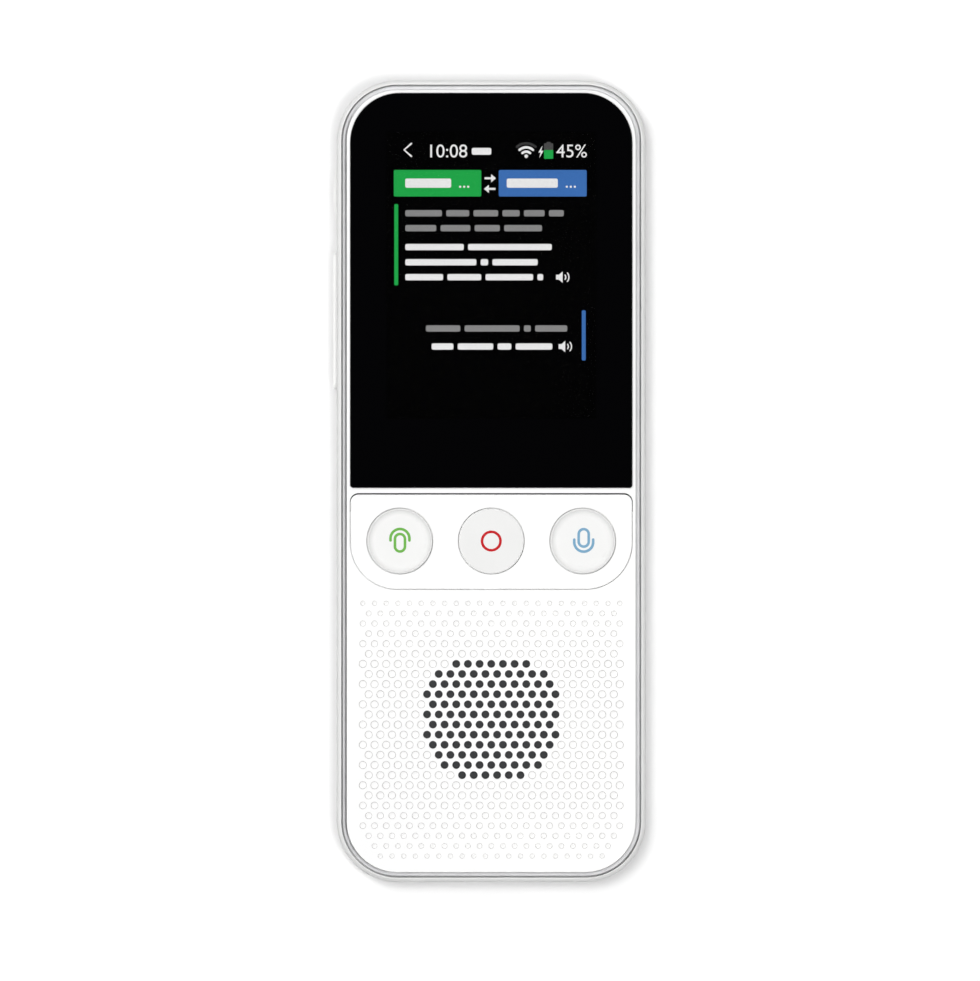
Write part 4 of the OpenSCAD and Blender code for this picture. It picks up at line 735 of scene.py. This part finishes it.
def yielding(name, node, material, x_from=None, x_to=None):
    """The shape of a CAD node between two values of x, as a new piece that takes the node's place.
    """
    bm = bmesh.new()
    bm.from_mesh(nodes[node].data)
    bmesh.ops.remove_doubles(bm, verts=bm.verts, dist=WELD)
    for x, outward in ((x_from, -1), (x_to, 1)):
        if x is not None:
            bmesh.ops.bisect_plane(bm, geom=bm.verts[:] + bm.edges[:] + bm.faces[:],
                                   plane_co=(x, 0, 0), plane_no=(outward, 0, 0),
                                   clear_outer=True)
            bmesh.ops.holes_fill(bm, edges=[edge for edge in bm.edges if edge.is_boundary])
    bmesh.ops.recalc_face_normals(bm, faces=bm.faces)
    for face in bm.faces:
        face.smooth = True
    for edge in bm.edges:
        edge.smooth = edge.calc_face_angle(0.0) < CREASE
    piece = piece_of(bm, name)
    show(piece, material)
    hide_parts(node)
    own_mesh(piece)


between = KEY_PITCH / 2 * MM
for key, x_from, x_to in (("left", None, -between), ("record", -between, between),
                          ("right", between, None)):
    yielding("key_mat_under_" + key, "key_mat", silicone,
             x_from, x_to)
for key, joint in (("power", "power_key_press"), ("volume_up", "volume_rocker_tilt"),
                   ("volume_down", "volume_rocker_tilt")):
    yielding(key + "_snap_dome", key + "_dome", spring_steel)

# ---------- Side keys ----------
# The power key and the volume rocker: long low bars of the housing's own ABS that stand
# out through slots in the left wall, backed by a flex on a steel bracket.
wear(white_abs, "power_key", "volume_rocker")
wear(rolled_steel, "side_key_bracket")
wear(polyimide, "side_key_flex")

# ---------- Boards ----------
# The main board screwed up under the face, the small port board, their chips under steel
# shield cans, connectors, screws and the flat cable between the two boards.

# Solder mask on glass laminate: green, with tracks showing as slightly lighter lines
solder_mask = finish("green_solder_mask", ("#11472c", "#1b6640"),
                     spot_mm=1.2, grain_mm=0.5, depth_mm=0.01, rough=(0.3, 0.45))
# Moulded epoxy: matt black with fine filler grain
chip_resin = finish("black_moulded_epoxy", ("#17181a", "#212225"),
                    spot_mm=1.5, grain_mm=0.12, depth_mm=0.004, rough=(0.55, 0.7))
# Zinc-plated screw steel
screw_steel = finish("zinc_plated_screw_steel", ("#9b9ea1", "#aeb1b4"),
                     spot_mm=1, grain_mm=0.15, depth_mm=0.001, rough=(0.25, 0.38), Metallic=1.0)
wear(solder_mask, "main_board", "port_board")
wear(chip_resin, "board_chips", "board_connectors")
wear(rolled_steel, "shield_cans")
wear(screw_steel, "board_screws")
wear(polyimide, "board_link")

# ---------- Battery ----------
# A flat lithium polymer pouch, sealed round its edge, and stuck to the back wall with tape
# between low ribs.

# Laminated foil: blue-grey, softly crinkled
foil_pouch = finish("laminated_foil_pouch", ("#455a70", "#50677e"),
                    spot_mm=8, grain_mm=2.5, depth_mm=0.06, rough=(0.3, 0.42), Metallic=0.4)
wear(foil_pouch, "battery_cell")
wear(black_foam, "battery_tape")
wear(polyimide, "battery_lead")

# ---------- Charging port ----------
# The charging receptacle in the bottom end: a rolled steel shell, nickel plated, round a
# moulded tongue. It is soldered to the port board.

# Nickel plating over rolled steel: bright, with soft reflections
nickel_shell = finish("bright_nickel_plating", ("#c2c3c2", "#cfcfcd"),
                      spot_mm=3, grain_mm=0.12, depth_mm=0.0006, rough=(0.2, 0.3), Metallic=1.0)
wear(nickel_shell, "port_shell")
wear(chip_resin, "port_tongue")

# ---------- Microphones and antenna ----------
# One microphone under each board behind a small hole in the end wall, sealed by a rubber
# boot, and a foil antenna on the back wall near the top.

# Nitrile rubber: deep matt black
boot_rubber = finish("black_nitrile_rubber", ("#161617", "#1e1e20"),
                     spot_mm=2, grain_mm=0.25, depth_mm=0.006, rough=(0.7, 0.85))
# Gold flash over brass foil
gold_flash = finish("gold_flashed_foil", ("#c29b4b", "#d1ab5c"),
                    spot_mm=4, grain_mm=0.3, depth_mm=0.001, rough=(0.22, 0.34), Metallic=1.0)
wear(nickel_shell, "microphones")
wear(boot_rubber, "mic_boots")
wear(gold_flash, "wifi_antenna")
